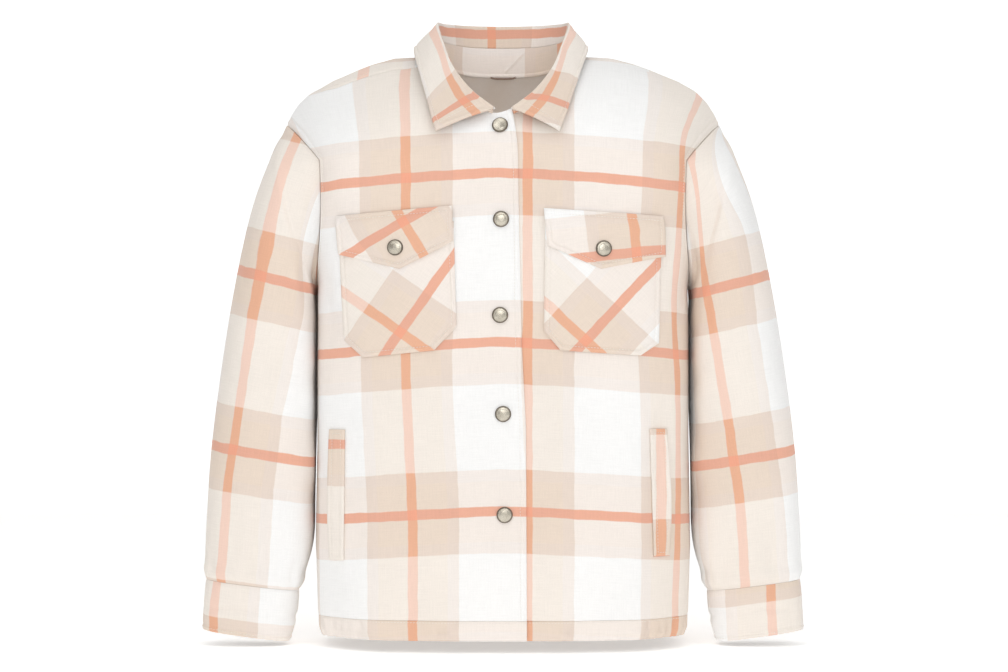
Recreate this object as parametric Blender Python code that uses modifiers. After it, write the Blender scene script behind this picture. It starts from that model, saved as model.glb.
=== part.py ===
"""Plaid shacket, filled out and hollow: every cut piece is a thin sewn wall.

X runs to the viewer's right, the front faces -Y and Z is up. The origin is at the
level of the high points of the shoulders, midway between them.
"""
import math

import bmesh
import bpy
import numpy as np
from mathutils import Vector

# Cloth, in metres
PANEL_WALL = 0.0020
BAND_WALL = 0.0028
COLLAR_WALL = 0.0024
SEAM_GAP = 0.0004
NECK_GAP = 0.0009
SHOULDER_GAP = 0.0006
PARED_SHARE = 0.4
LAP_CLEARANCE = 0.0009
PATCH_LIFT = 0.0008

# Levels of the body, measured from the high points of the shoulders
HEM_Z = -0.6735
HEM_SEAM_Z = -0.6500
UNDERARM_Z = -0.2700
ARMHOLE_TURN_Z = -0.1400
CHEST_Z = -0.1250
ARMHOLE_REACH = 0.0790
ARMHOLE_SLOPE = math.radians(8)
ARMHOLE_SQUARENESS = 2.2
QUARTER_LENGTH = 0.2800
LOWER_ROWS = 10
UPPER_LEVELS = (0.0, 0.0015, 0.0060, 0.0150, 0.0300, 0.0500, 0.0800, 0.1130)

# Body outline at each level: height, half width, depth from middle to front or back, squareness
BODY_SECTIONS = (
    (-0.6735, 0.2150, 0.1120, 2.9),
    (-0.6500, 0.2165, 0.1130, 2.9),
    (-0.5700, 0.2195, 0.1160, 3.0),
    (-0.4500, 0.2175, 0.1180, 3.1),
    (-0.2700, 0.2165, 0.1180, 3.8),
    (-0.1250, 0.2165, 0.1170, 5.2),
)

# Free edge of the lapped front, on the other side of the middle: height, reach
LAP_EDGE = (
    (-0.6735, 0.0272),
    (-0.4300, 0.0261),
    (-0.3400, 0.0215),
    (-0.2000, 0.0181),
    (-0.0900, 0.0165),
    (-0.0760, 0.0145),
    (-0.0655, 0.0100),
)
UNDER_LAP = 0.0180
LAP_NECK_END = (-0.0100, -0.1015, -0.0660)
UNDER_NECK_END = (-0.0170, -0.0985, -0.0740)
LAP_STEP = 0.0300
LAP_SOFTENING = 0.0300

# Top line of the shoulder: distance from the middle, height
SHOULDER_LINE = (
    (0.0780, 0.0040),
    (0.1060, 0.0040),
    (0.1270, 0.0030),
    (0.1560, -0.0040),
    (0.1750, -0.0105),
    (0.2065, -0.0230),
    (0.2280, -0.0365),
    (0.2410, -0.0505),
    (0.2510, -0.0670),
    (0.2550, -0.0780),
)
SHOULDER_POINT = (0.2550, -0.0020, -0.0780)
SHOULDER_BULGE = 0.0050
BULGE_START = 0.75
SEAM_FADE_X = 0.1900
SEAM_BLEND = 0.0400
NECK_SLOPE = math.radians(68)
EDGE_PULL = 0.9
CHEST_FULLNESS = 1.1
ARMHOLE_FULLNESS = 0.3
NAPE_TURN = math.radians(52)
LEVEL_TURN = math.radians(90)
POINT_TURN = math.radians(100)

# Shoulder seam of each side: how far it lies in front of the top line, how far below, its slope
SEAM_RIGHT = {"forward": 0.0280, "drop": 0.0175, "slope": math.radians(34), "neck_end": LAP_NECK_END}
SEAM_LEFT = {"forward": 0.0130, "drop": 0.0060, "slope": math.radians(18), "neck_end": UNDER_NECK_END}

# Collar stations from the middle of the back to the front end. Each row holds a point of the
# neck seam, of the seam between stand and fall, of the fold line and of the fall's free edge.
COLLAR_STATIONS = (
    ((0, 0.062, -0.0117), (0, 0.064, 0.0203), (0, 0.068, 0.0476), (0, 0.092, -0.01)),
    ((0.04, 0.055, -0.0105), (0.039, 0.057, 0.0205), (0.041, 0.06, 0.0475), (0.058, 0.082, -0.007)),
    ((0.068, 0.032, -0.005), (0.0655, 0.033, 0.0225), (0.068, 0.034, 0.0465), (0.096, 0.048, 0.0065)),
    ((0.08, 0, 0.003), (0.077, 0, 0.025), (0.0767, 0, 0.0427), (0.1058, -0.004, 0.011)),
    ((0.078, -0.03, -0.009), (0.0735, -0.03, 0.005), (0.0685, -0.032, 0.016), (0.0985, -0.06, -0.0165)),
    ((0.066, -0.06, -0.033), (0.061, -0.061, -0.023), (0.057, -0.063, -0.014), (0.088, -0.0975, -0.0525)),
    ((0.042, -0.084, -0.055), (0.039, -0.086, -0.049), (0.036, -0.089, -0.043), (0.0815, -0.114, -0.077)),
    ((0.0115, -0.1005, -0.071), (0.011, -0.1035, -0.0675), (0.0095, -0.107, -0.065), (0.0765, -0.1235, -0.0935)),
)
LEFT_LEAF_NARROWER = (0.0, 0.0, 0.002, 0.005, 0.007, 0.009, 0.011, 0.0125)
COLLAR_END_MARGIN = 0.15
FOLD_RADIUS = 0.0022
FALL_BULGE = 0.0050
FALL_ROWS = 5

# Sleeve rings below the armhole: outer edge x and z, inner edge x and z, half depth, middle y
SLEEVE_RINGS = (
    (0.2635, -0.0960, 0.2190, -0.2712, 0.0840, 0.0000),
    (0.2755, -0.1230, 0.2196, -0.2755, 0.0860, -0.0010),
    (0.2920, -0.1680, 0.2200, -0.2880, 0.0860, -0.0020),
    (0.3060, -0.2240, 0.2200, -0.3180, 0.0820, -0.0040),
    (0.3220, -0.3090, 0.2200, -0.3750, 0.0750, -0.0070),
    (0.3345, -0.3940, 0.2200, -0.4400, 0.0660, -0.0100),
    (0.3430, -0.4700, 0.2203, -0.5030, 0.0560, -0.0130),
    (0.3475, -0.5450, 0.2225, -0.5650, 0.0460, -0.0160),
    (0.3490, -0.5900, 0.2330, -0.6050, 0.0370, -0.0180),
    (0.3478, -0.6098, 0.2395, -0.6228, 0.0310, -0.0180),
)
CUFF_RINGS = (
    (0.3490, -0.6104, 0.2385, -0.6234, 0.0325, -0.0180),
    (0.3505, -0.6400, 0.2440, -0.6535, 0.0310, -0.0185),
    (0.3520, -0.6685, 0.2496, -0.6824, 0.0290, -0.0190),
)
SLEEVE_SQUARENESS = 2.2
SLEEVE_PLACES = (0.0, 0.5, 1.0, 1.5, 2.1, 2.8, 3.6, 4.4, 5.2, 6.0, 6.8, 7.6, 8.3, 9.0, 9.5, 10.0)

# Soft troughs of the sleeve: ring position, place round the ring in turns, reach in rings, reach in
# turns, lean in turns per ring, depth
SLEEVE_FOLDS = (
    (1.8, 0.33, 1.5, 0.050, 0.030, 0.0060),
    (3.0, 0.72, 1.2, 0.060, -0.030, 0.0045),
    (5.6, 0.40, 0.7, 0.120, 0.060, 0.0045),
    (6.6, 0.62, 0.6, 0.110, -0.050, 0.0040),
    (8.4, 0.30, 0.8, 0.035, 0.010, 0.0035),
    (8.6, 0.18, 0.8, 0.035, -0.010, 0.0030),
    (8.5, 0.70, 0.8, 0.035, 0.000, 0.0035),
)

# Flutes of the body above the hem seam: place along a quarter in fractions, width in fractions, depth
HEM_FLUTES = (
    (0.42, 0.050, -0.0016),
    (0.58, 0.055, 0.0018),
    (0.74, 0.050, -0.0024),
    (0.86, 0.045, 0.0022),
)
HEM_FLUTE_HEIGHT = 0.1100

# Chest pockets, corners as distance from the middle and height
POCKET_RIGHT = {
    "flap_top": ((0.0578, -0.1781), (0.1900, -0.1896)),
    "flap_bottom": ((0.0567, -0.2194), (0.1169, -0.2500), (0.1857, -0.2332)),
    "inner_edge": ((0.0560, -0.1960), (0.0527, -0.3158), (0.0782, -0.3424)),
    "outer_edge": ((0.1870, -0.2080), (0.1808, -0.3306), (0.1589, -0.3505)),
    "snap": (0.1215, -0.2257),
}
POCKET_LEFT = {
    "flap_top": ((0.0465, -0.1809), (0.1826, -0.1897)),
    "flap_bottom": ((0.0510, -0.2234), (0.1107, -0.2500), (0.1832, -0.2355)),
    "inner_edge": ((0.0480, -0.1980), (0.0465, -0.3203), (0.0652, -0.3424)),
    "outer_edge": ((0.1800, -0.2080), (0.1772, -0.3340), (0.1560, -0.3482)),
    "snap": (0.1135, -0.2270),
}
POCKET_WALL = 0.0020
POCKET_ROWS = (0.0, 0.125, 0.25, 0.375, 0.5, 0.75, 1.0)
FLAP_WALL = 0.0026
FLAP_LIFT = 0.0034
FLAP_LIFTED = 0.28
FLAP_ROWS = (0.0, 0.12, FLAP_LIFTED, 0.52, 0.76, 1.0)

# Side welts: inner and outer edge at the top, the same at the bottom, mouth lift
WELT_RIGHT = {"top": (0.1800, 0.1985, -0.4330), "bottom": (0.1815, 0.1990, -0.5830), "gape": 0.0016}
WELT_LEFT = {"top": (0.1665, 0.1870, -0.4320), "bottom": (0.1715, 0.1900, -0.5780), "gape": 0.0060}
WELT_WALL = 0.0024
WELT_ROWS = 9
WELT_COLUMNS = 5

# Snap caps: distance from the middle, towards the viewer's right, and height
FRONT_SNAPS = (
    (-0.0034, -0.0862),
    (-0.0023, -0.1934),
    (-0.0034, -0.3022),
    (0.0000, -0.4144),
    (0.0018, -0.5289),
)
SNAP_RADIUS = 0.0086
SNAP_HEIGHT = 0.0027
SNAP_RIM = 0.0008
SNAP_SEAT = 0.0006
SNAP_STEPS = 16
SNAP_PROFILE = (0.0, 0.35, 0.65, 0.88, 1.0)

# Loop of tape inside the back neck
LOOP_HALF_SPAN = 0.0170
LOOP_RADIUS = 0.0011
LOOP_Y = 0.0596
LOOP_Z = -0.0142
LOOP_DROOP = 0.0030
LOOP_LEAN = 0.6
LOOP_POINTS = 9

NECK_COLUMNS = 7
SHOULDER_COLUMNS = 8
BODY_COLUMNS = NECK_COLUMNS + SHOULDER_COLUMNS
NECK_SHARE = NECK_COLUMNS / BODY_COLUMNS
PATCH_COLUMNS = 10
UPPER_ROWS = 7
BACK_ROWS = 9
RING_COLUMNS = 22
COLLECTION = "shacket"


def clear_scene():
    for item in list(bpy.data.objects):
        bpy.data.objects.remove(item, do_unlink=True)


def parts_collection():
    collection = bpy.data.collections.new(COLLECTION)
    bpy.context.scene.collection.children.link(collection)
    return collection


def principled(name, colour, roughness, metallic=0.0):
    material = bpy.data.materials.new(name)
    material.use_nodes = True
    shader = material.node_tree.nodes["Principled BSDF"]
    shader.inputs["Base Color"].default_value = (*colour, 1.0)
    shader.inputs["Roughness"].default_value = roughness
    shader.inputs["Metallic"].default_value = metallic
    return material


def column(table, index, at):
    """Value of one column of a short table whose first column is its key."""
    rows = sorted(table)
    return np.interp(at, [row[0] for row in rows], [row[index] for row in rows])


def smooth_step(value, low, high):
    part = np.clip((value - low) / (high - low), 0.0, 1.0)
    return part * part * (3.0 - 2.0 * part)


def through_rows(rows, places):
    """Smooth curve through the rows of a table, read at row positions such as 2.5."""
    rows = np.asarray(rows, dtype=float)
    last = len(rows) - 1
    places = np.clip(np.asarray(places, dtype=float), 0.0, last)
    index = np.minimum(places.astype(int), last - 1)
    part = (places - index).reshape((-1,) + (1,) * (rows.ndim - 1))
    before = rows[np.maximum(index - 1, 0)]
    start = rows[index]
    end = rows[index + 1]
    after = rows[np.minimum(index + 2, last)]
    linear = (end - before) * part
    square = (2.0 * before - 5.0 * start + 4.0 * end - after) * part ** 2
    cube = (3.0 * start - before - 3.0 * end + after) * part ** 3
    return 0.5 * (2.0 * start + linear + square + cube)


def at_fractions(points, fractions):
    """Points at fractions of the length of a dense line of points."""
    steps = np.linalg.norm(np.diff(points[:, :3], axis=0), axis=1)
    length = np.concatenate([[0.0], np.cumsum(steps)])
    wanted = np.asarray(fractions) * length[-1]
    return np.stack([np.interp(wanted, length, values) for values in points.T], axis=1)


def body_section(z):
    return tuple(float(column(BODY_SECTIONS, index, z)) for index in (1, 2, 3))


def body_depth(x, z):
    """Distance of the body's outline from the middle plane at a side distance and a height."""
    half_width, depth, squareness = body_section(z)
    return depth * max(0.0, 1.0 - abs(x / half_width) ** squareness) ** (1.0 / squareness)


def hem_flute(fraction, z):
    fade = 1.0 - smooth_step(z, HEM_SEAM_Z, HEM_SEAM_Z + HEM_FLUTE_HEIGHT)
    waves = sum(depth * np.exp(-((fraction - place) / width) ** 2) for place, width, depth in HEM_FLUTES)
    return waves * fade


def body_row(z, start_x, end_depth, fractions):
    """Points along a quarter of the body's outline, from the middle out to the side.

    They lie on the +X side and in front, and start_x may be negative for a lap.
    """
    half_width, depth, squareness = body_section(z)
    start = math.atan2(start_x, body_depth(start_x, z))
    end_x = half_width * (1.0 - (end_depth / depth) ** squareness) ** (1.0 / squareness)
    end = math.atan2(end_x, end_depth)
    angle = np.linspace(start, end, 80)
    across = (np.abs(np.sin(angle)) / half_width) ** squareness
    ahead = (np.abs(np.cos(angle)) / depth) ** squareness
    radius = (across + ahead) ** (-1.0 / squareness)
    line = np.stack([radius * np.sin(angle), -radius * np.cos(angle), np.full_like(angle, z)], axis=1)
    row = at_fractions(line, fractions)
    outward = np.stack([row[:, 0] / half_width ** 2, row[:, 1] / depth ** 2], axis=1)
    outward /= np.linalg.norm(outward, axis=1)[:, None]
    row[:, :2] += outward * hem_flute(np.asarray(fractions), z)[:, None]
    return row


def armhole_depth(z):
    """How far in front of the side the armhole's edge lies at a height."""
    if z <= UNDERARM_Z:
        return 0.0
    if z >= ARMHOLE_TURN_Z:
        return ARMHOLE_REACH
    part = (ARMHOLE_TURN_Z - z) / (ARMHOLE_TURN_Z - UNDERARM_Z)
    return ARMHOLE_REACH * (1.0 - part ** ARMHOLE_SQUARENESS) ** (1.0 / ARMHOLE_SQUARENESS)


def neck_line(side):
    """Dense half of the neck seam, from the middle of the back to just past the middle front.

    The fourth column is the collar station that each point belongs to.
    """
    rows = [row[0] for row in COLLAR_STATIONS] + [side["neck_end"]]
    places = np.linspace(0.0, len(rows) - 1, 240)
    return np.column_stack([through_rows(rows, places), places])


def shoulder_height(x):
    return column(SHOULDER_LINE, 1, x)


def shoulder_seam(side, neck_point):
    """Dense line of the shoulder seam from the neck to the shoulder point."""
    x = np.linspace(neck_point[0], SHOULDER_POINT[0], 60)
    fade = 1.0 - smooth_step(x, SEAM_FADE_X, SHOULDER_POINT[0])
    neck_drop = shoulder_height(neck_point[0]) - neck_point[2]
    blend = smooth_step(x, neck_point[0], neck_point[0] + SEAM_BLEND)
    drop = (neck_drop + (side["drop"] - neck_drop) * blend) * fade
    forward = side["forward"] * fade - SHOULDER_POINT[1] * (1.0 - fade)
    return np.stack([x, -forward, shoulder_height(x) - drop], axis=1)


def split_neck(side):
    """Neck seam cut where the shoulder seam meets it: the back's part and the front's part."""
    line = neck_line(side)
    cut = int(np.argmax(line[:, 1] <= -side["forward"]))
    return line[:cut + 1], line[cut:]


def upper_edge(neck, shoulder):
    """Upper edge of a front or a back: its neck seam, then its shoulder seam."""
    on_neck = at_fractions(neck[:, :3], np.linspace(0.0, 1.0, NECK_COLUMNS + 1))
    on_shoulder = at_fractions(shoulder, np.linspace(0.0, 1.0, SHOULDER_COLUMNS + 1))
    return np.concatenate([on_neck, on_shoulder[1:]])


def front_top(side):
    neck = split_neck(side)[1][::-1]
    return upper_edge(neck, shoulder_seam(side, neck[-1]))


def back_top(side):
    neck = split_neck(side)[0]
    return upper_edge(neck, shoulder_seam(side, neck[-1]))


def rise_to_edge(low, high, slope, part, fullness):
    """Curve that leaves the chest upright and reaches an upper edge at a slope."""
    chord = high - low
    reach = np.linalg.norm(chord)
    level = np.array([chord[0], chord[1], 0.0])
    level /= max(np.linalg.norm(level), 1e-9)
    start_pull = np.array([0.0, 0.0, fullness * reach])
    end_pull = (level * math.cos(slope) + np.array([0.0, 0.0, math.sin(slope)])) * EDGE_PULL * reach
    square = part ** 2
    cube = part ** 3
    point = (2 * cube - 3 * square + 1) * low + (cube - 2 * square + part) * start_pull
    return point + (3 * square - 2 * cube) * high + (cube - square) * end_pull


def over_shoulder(low, high, turn, part):
    """Curve that leaves the upper back upright and turns by the given angle to its end."""
    chord = high - low
    angle = turn * part
    level = (1.0 - math.cos(angle)) / (1.0 - math.cos(turn))
    upright = math.sin(angle) / math.sin(turn)
    return low + np.array([chord[0] * level, chord[1] * level, chord[2] * upright])


def rounded_out(point, part, fraction):
    """Push the shoulder outwards between the chest and the shoulder point, at the armhole."""
    out = SHOULDER_BULGE * math.sin(math.pi * part) * smooth_step(fraction, BULGE_START, 1.0)
    return point + np.array([out, 0.0, 0.0])


def fullness(fraction):
    """How far the chest carries on upright before it leans in, from the middle to the armhole."""
    return CHEST_FULLNESS + (ARMHOLE_FULLNESS - CHEST_FULLNESS) * fraction ** 4


def drawn_back(grid):
    """Shorten the columns by the seam gap at their upper ends."""
    last = grid[-1] - grid[-2]
    grid[-1] -= last / np.linalg.norm(last, axis=1)[:, None] * SHOULDER_GAP
    return grid


def body_levels():
    """Heights of the body's rows, closer together where the armhole turns."""
    lower = np.linspace(HEM_SEAM_Z + SEAM_GAP, UNDERARM_Z, LOWER_ROWS, endpoint=False)
    upper = UNDERARM_Z + np.array(UPPER_LEVELS)
    return np.concatenate([lower, upper, [CHEST_Z]])


def under_share(x):
    """How much of the under front's recess holds at a side distance: all under the lap."""
    return 1.0 - smooth_step(x, LAP_STEP, LAP_STEP + LAP_SOFTENING)


def front_grid(side, lap, recess):
    """Outer face of a front on the +X side. lap gives its reach past the middle at a height."""
    fractions = np.linspace(0.0, 1.0, BODY_COLUMNS + 1)
    side_fractions = fractions * (1.0 - SEAM_GAP / QUARTER_LENGTH)
    rows = [body_row(z, -lap(z), armhole_depth(z), side_fractions) for z in body_levels()]
    chest = rows[-1]
    top = front_top(side)
    for part in np.linspace(0.0, 1.0, UPPER_ROWS + 1)[1:]:
        row = []
        for fraction, low, high in zip(fractions, chest, top):
            neckward = 1.0 - smooth_step(fraction, 0.0, NECK_SHARE)
            slope = side["slope"] + (NECK_SLOPE - side["slope"]) * neckward
            slope += (ARMHOLE_SLOPE - slope) * smooth_step(fraction, 0.8, 1.0)
            point = rise_to_edge(low, high, slope, part, fullness(fraction))
            row.append(rounded_out(point, part, fraction))
        rows.append(np.array(row))
    grid = drawn_back(np.array(rows))
    grid[:, :, 1] += recess * under_share(grid[:, :, 0])
    return grid


def back_turn(top, side, neck_end):
    """How far each upper column of the back turns: little at the nape, past level at the shoulder."""
    turns = []
    nape_depth = COLLAR_STATIONS[0][0][1]
    for x, y, z in top:
        if x <= neck_end[0] + 1e-6 and y > 0.0:
            turns.append(LEVEL_TURN + (NAPE_TURN - LEVEL_TURN) * y / nape_depth)
            continue
        drop = max(0.0, shoulder_height(max(x, neck_end[0])) - z)
        full = z + drop - CHEST_Z
        past = LEVEL_TURN + (POINT_TURN - LEVEL_TURN) * smooth_step(x, SEAM_FADE_X, SHOULDER_POINT[0])
        turns.append(max(past, math.pi - math.asin(min(1.0, 1.0 - drop / full))))
    return turns


def back_half_grid(side):
    """Outer face of half the back on the +X side."""
    fractions = np.linspace(0.0, 1.0, BODY_COLUMNS + 1)
    side_fractions = fractions * (1.0 - SEAM_GAP / QUARTER_LENGTH)
    rows = [body_row(z, 0.0, armhole_depth(z), side_fractions) for z in body_levels()]
    for row in rows:
        row[:, 1] *= -1.0
    chest = rows[-1]
    top = back_top(side)
    turns = back_turn(top, side, split_neck(side)[0][-1])
    for part in np.linspace(0.0, 1.0, BACK_ROWS + 1)[1:]:
        row = []
        for fraction, low, high, turn in zip(fractions, chest, top, turns):
            row.append(rounded_out(over_shoulder(low, high, turn, part), part, fraction))
        rows.append(np.array(row))
    return drawn_back(np.array(rows))


def mirrored(grid):
    turned = np.array(grid)[:, ::-1].copy()
    turned[:, :, 0] *= -1.0
    return turned


def lay_out(name, grid, wall, material, collection, ring=False, outward=True, pared=False):
    """Skin rows of points with quads and thicken them away from the outer face.

    A pared piece has a thinner wall along its upper edge, where two walls meet at an angle.
    """
    mesh = bpy.data.meshes.new(name)
    shape = bmesh.new()
    rows = [[shape.verts.new(point) for point in row] for row in grid]
    count = len(rows[0])
    last = count if ring else count - 1
    for low, high in zip(rows[:-1], rows[1:]):
        for index in range(last):
            after = (index + 1) % count
            corners = [low[index], low[after], high[after], high[index]]
            shape.faces.new(corners if outward else corners[::-1])
    shape.to_mesh(mesh)
    shape.free()
    mesh.shade_smooth()
    piece = bpy.data.objects.new(name, mesh)
    piece.data.materials.append(material)
    collection.objects.link(piece)
    thicken = piece.modifiers.new("wall", "SOLIDIFY")
    thicken.thickness = wall
    thicken.offset = -1.0
    thicken.use_quality_normals = True
    if pared:
        group = piece.vertex_groups.new(name="wall")
        group.add(list(range((len(rows) - 1) * count)), 1.0, "REPLACE")
        group.add(list(range((len(rows) - 1) * count, len(rows) * count)), PARED_SHARE, "REPLACE")
        thicken.vertex_group = "wall"
    return piece


def lap_edge(z):
    return float(column(LAP_EDGE, 1, z))


def under_edge(z):
    return UNDER_LAP


def make_fronts(cloth, collection):
    right = mirrored(front_grid(SEAM_RIGHT, lap_edge, 0.0))
    left = front_grid(SEAM_LEFT, under_edge, PANEL_WALL + LAP_CLEARANCE)
    lay_out("front_right", right, PANEL_WALL, cloth, collection, pared=True)
    lay_out("front_left", left, PANEL_WALL, cloth, collection, pared=True)


def make_back(cloth, collection):
    left_half = back_half_grid(SEAM_LEFT)
    right_half = mirrored(back_half_grid(SEAM_RIGHT))
    grid = np.concatenate([right_half, left_half[:, 1:]], axis=1)
    lay_out("back", grid, PANEL_WALL, cloth, collection, outward=False, pared=True)


def make_hem_bands(cloth, collection):
    levels = (HEM_Z, (HEM_Z + HEM_SEAM_Z) / 2.0, HEM_SEAM_Z - SEAM_GAP)
    fractions = np.linspace(0.0, 1.0 - SEAM_GAP / QUARTER_LENGTH, BODY_COLUMNS + 1)
    right = np.array([body_row(z, -lap_edge(z), 0.0, fractions) for z in levels])
    left = np.array([body_row(z, -UNDER_LAP, 0.0, fractions) for z in levels])
    left[:, :, 1] += (BAND_WALL + LAP_CLEARANCE) * under_share(left[:, :, 0])
    half = np.array([body_row(z, 0.0, 0.0, fractions) for z in levels])
    half[:, :, 1] *= -1.0
    back = np.concatenate([mirrored(half), half[:, 1:]], axis=1)
    lay_out("hem_band_front_right", mirrored(right), BAND_WALL, cloth, collection)
    lay_out("hem_band_front_left", left, BAND_WALL, cloth, collection)
    lay_out("hem_band_back", back, BAND_WALL, cloth, collection, outward=False)


def armhole_loop(side, count):
    """Armhole edge on the +X side, from the shoulder point round the front and up the back."""
    fine = np.linspace(0.0, 1.0, 25)
    levels = np.linspace(CHEST_Z, UNDERARM_Z, 40)
    low = body_row(CHEST_Z, 0.0, armhole_depth(CHEST_Z), [1.0])[0]
    high = np.array(SHOULDER_POINT)
    upper = []
    for part in fine[::-1]:
        upper.append(rounded_out(rise_to_edge(low, high, ARMHOLE_SLOPE, part, fullness(1.0)), part, 1.0))
    lower = [body_row(z, 0.0, armhole_depth(z), [1.0])[0] for z in levels[1:]]
    front = np.array(upper + lower)
    low_back = low * np.array([1.0, -1.0, 1.0])
    turn = back_turn([SHOULDER_POINT], side, split_neck(side)[0][-1])[0]
    upper_back = []
    for part in fine[::-1]:
        upper_back.append(rounded_out(over_shoulder(low_back, high, turn, part), part, 1.0))
    lower_back = [point * np.array([1.0, -1.0, 1.0]) for point in lower]
    back = np.array(upper_back + lower_back)
    half = count // 2
    ahead = at_fractions(front, np.linspace(0.0, 1.0, half + 1))
    behind = at_fractions(back, np.linspace(0.0, 1.0, half + 1))
    loop = np.concatenate([ahead, behind[1:-1][::-1]])
    middle = loop.mean(axis=0)
    towards = middle - loop
    towards[:, 0] = 0.0
    towards /= np.linalg.norm(towards, axis=1)[:, None]
    gap = SEAM_GAP * (1.0 + 1.5 * smooth_step(loop[:, 2], CHEST_Z, SHOULDER_POINT[2]))
    loop += towards * gap[:, None]
    loop[:, 0] += gap
    return loop


def sleeve_ring(row, count):
    """Closed ring from its outer edge round the front, the inner edge and the back."""
    outer_x, outer_z, inner_x, inner_z, half_depth, middle_y = row
    angle = np.linspace(0.0, 2.0 * math.pi, count, endpoint=False)
    power = 2.0 / SLEEVE_SQUARENESS
    along = np.sign(np.cos(angle)) * np.abs(np.cos(angle)) ** power
    across = np.sign(np.sin(angle)) * np.abs(np.sin(angle)) ** power
    x = (outer_x + inner_x) / 2.0 + along * (outer_x - inner_x) / 2.0
    z = (outer_z + inner_z) / 2.0 + along * (outer_z - inner_z) / 2.0
    return np.stack([x, middle_y - across * half_depth, z], axis=1)


def sleeve_folds(grid, places):
    """Push soft troughs into the sleeve, towards the middle of each ring."""
    turns = np.arange(grid.shape[1]) / grid.shape[1]
    for place, turn, reach, turn_reach, lean, depth in SLEEVE_FOLDS:
        for row, ring in enumerate(places):
            offset = turns - turn - lean * (ring - place)
            offset -= np.round(offset)
            weight = np.exp(-((ring - place) / reach) ** 2 - (offset / turn_reach) ** 2)
            inward = grid[row].mean(axis=0) - grid[row]
            inward /= np.linalg.norm(inward, axis=1)[:, None]
            grid[row] += inward * (depth * weight * smooth_step(ring, 0.0, 1.0))[:, None]
    return grid


def sleeve_grid(side, places, count):
    rings = [armhole_loop(side, count)]
    rings += [sleeve_ring(row, count) for row in SLEEVE_RINGS]
    return sleeve_folds(through_rows(np.array(rings), places), places)


def make_sleeves(cloth, collection):
    places = np.array(SLEEVE_PLACES)
    left = sleeve_grid(SEAM_LEFT, places, RING_COLUMNS)
    right = mirrored(sleeve_grid(SEAM_RIGHT, places, RING_COLUMNS))
    lay_out("sleeve_left", left, PANEL_WALL, cloth, collection, ring=True)
    lay_out("sleeve_right", right, PANEL_WALL, cloth, collection, ring=True)


def make_cuffs(cloth, collection):
    grid = np.array([sleeve_ring(row, RING_COLUMNS) for row in CUFF_RINGS])
    lay_out("cuff_left", grid, BAND_WALL, cloth, collection, ring=True)
    lay_out("cuff_right", mirrored(grid), BAND_WALL, cloth, collection, ring=True)


def collar_curves(places):
    """Neck seam, stand seam, fold line and free edge round the whole neck, right end to left end."""
    table = np.array(COLLAR_STATIONS)
    left = table.copy()
    left[:, 3, 0] -= np.array(LEFT_LEAF_NARROWER)
    right = table[::-1].copy()
    right[:, :, 0] *= -1.0
    rows = np.concatenate([right, left[1:]])
    return through_rows(rows, places)


def collar_places():
    """Stations of the collar's columns, which meet the columns of the fronts and the back."""
    last = len(COLLAR_STATIONS) - 1
    shares = np.linspace(0.0, 1.0, NECK_COLUMNS + 1)
    halves = []
    for side in (SEAM_RIGHT, SEAM_LEFT):
        back, front = split_neck(side)
        half = np.concatenate([at_fractions(back, shares)[:, 3], at_fractions(front, shares)[1:, 3]])
        halves.append(np.append(half[half < last - COLLAR_END_MARGIN], last))
    right, left = halves
    return np.concatenate([last - right[::-1], last + left[1:]])


def make_collar_stand(cloth, collection):
    curves = collar_curves(collar_places())
    neck = curves[:, 0]
    seam = curves[:, 1]
    up = seam - neck
    up /= np.linalg.norm(up, axis=1)[:, None]
    low = neck + up * NECK_GAP
    high = seam - up * SEAM_GAP
    grid = np.array([low, (low + high) / 2.0, high])
    lay_out("collar_stand", grid, COLLAR_WALL, cloth, collection)


def fall_section(seam, fold, edge, outward, rows_down):
    """One section of the fall: up to the fold line, over it and down to the free edge."""
    rise = fold - seam
    rise /= np.linalg.norm(rise)
    start = seam + rise * SEAM_GAP
    inner = fold - outward * FOLD_RADIUS * 0.5 - np.array([0.0, 0.0, FOLD_RADIUS])
    outer = fold + outward * FOLD_RADIUS * 1.5 - np.array([0.0, 0.0, FOLD_RADIUS])
    top = fold + outward * FOLD_RADIUS * 0.5
    points = [start, (start + inner) / 2.0, inner, top, outer]
    for part in np.linspace(0.0, 1.0, rows_down + 1)[1:]:
        point = outer + (edge - outer) * part
        points.append(point + outward * FALL_BULGE * math.sin(math.pi * part) * (1.0 - 0.4 * part))
    return points


def make_collar_fall(cloth, collection):
    curves = collar_curves(collar_places())
    sections = []
    for neck, seam, fold, edge in curves:
        outward = edge - fold
        outward[2] *= 0.2
        outward /= np.linalg.norm(outward)
        sections.append(fall_section(seam, fold, edge, outward, FALL_ROWS))
    grid = np.array(sections).transpose(1, 0, 2)
    lay_out("collar_fall", grid, COLLAR_WALL, cloth, collection)


def along(corners, part):
    """Point at a fraction of a short outline of (x, z) corners, each stretch an equal share."""
    places = np.linspace(0.0, 1.0, len(corners))
    return np.array([np.interp(part, places, [corner[axis] for corner in corners]) for axis in (0, 1)])


def on_front(x, z, lift):
    """Point on the outer face of a front, on the +X side, moved out by a lift."""
    step = 0.0005
    slope = (body_depth(x + step, z) - body_depth(x - step, z)) / (2.0 * step)
    normal = np.array([-slope, -1.0, 0.0])
    normal /= np.linalg.norm(normal)
    return np.array([x, -body_depth(x, z), z]) + normal * lift


def pocket_grid(pocket):
    rows = []
    steps = np.linspace(0.0, 1.0, PATCH_COLUMNS + 1)
    for part in POCKET_ROWS:
        inner = along(pocket["inner_edge"], part)
        outer = along(pocket["outer_edge"], part)
        rows.append([on_front(*(inner + (outer - inner) * step), PATCH_LIFT) for step in steps])
    return np.array(rows)


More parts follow.
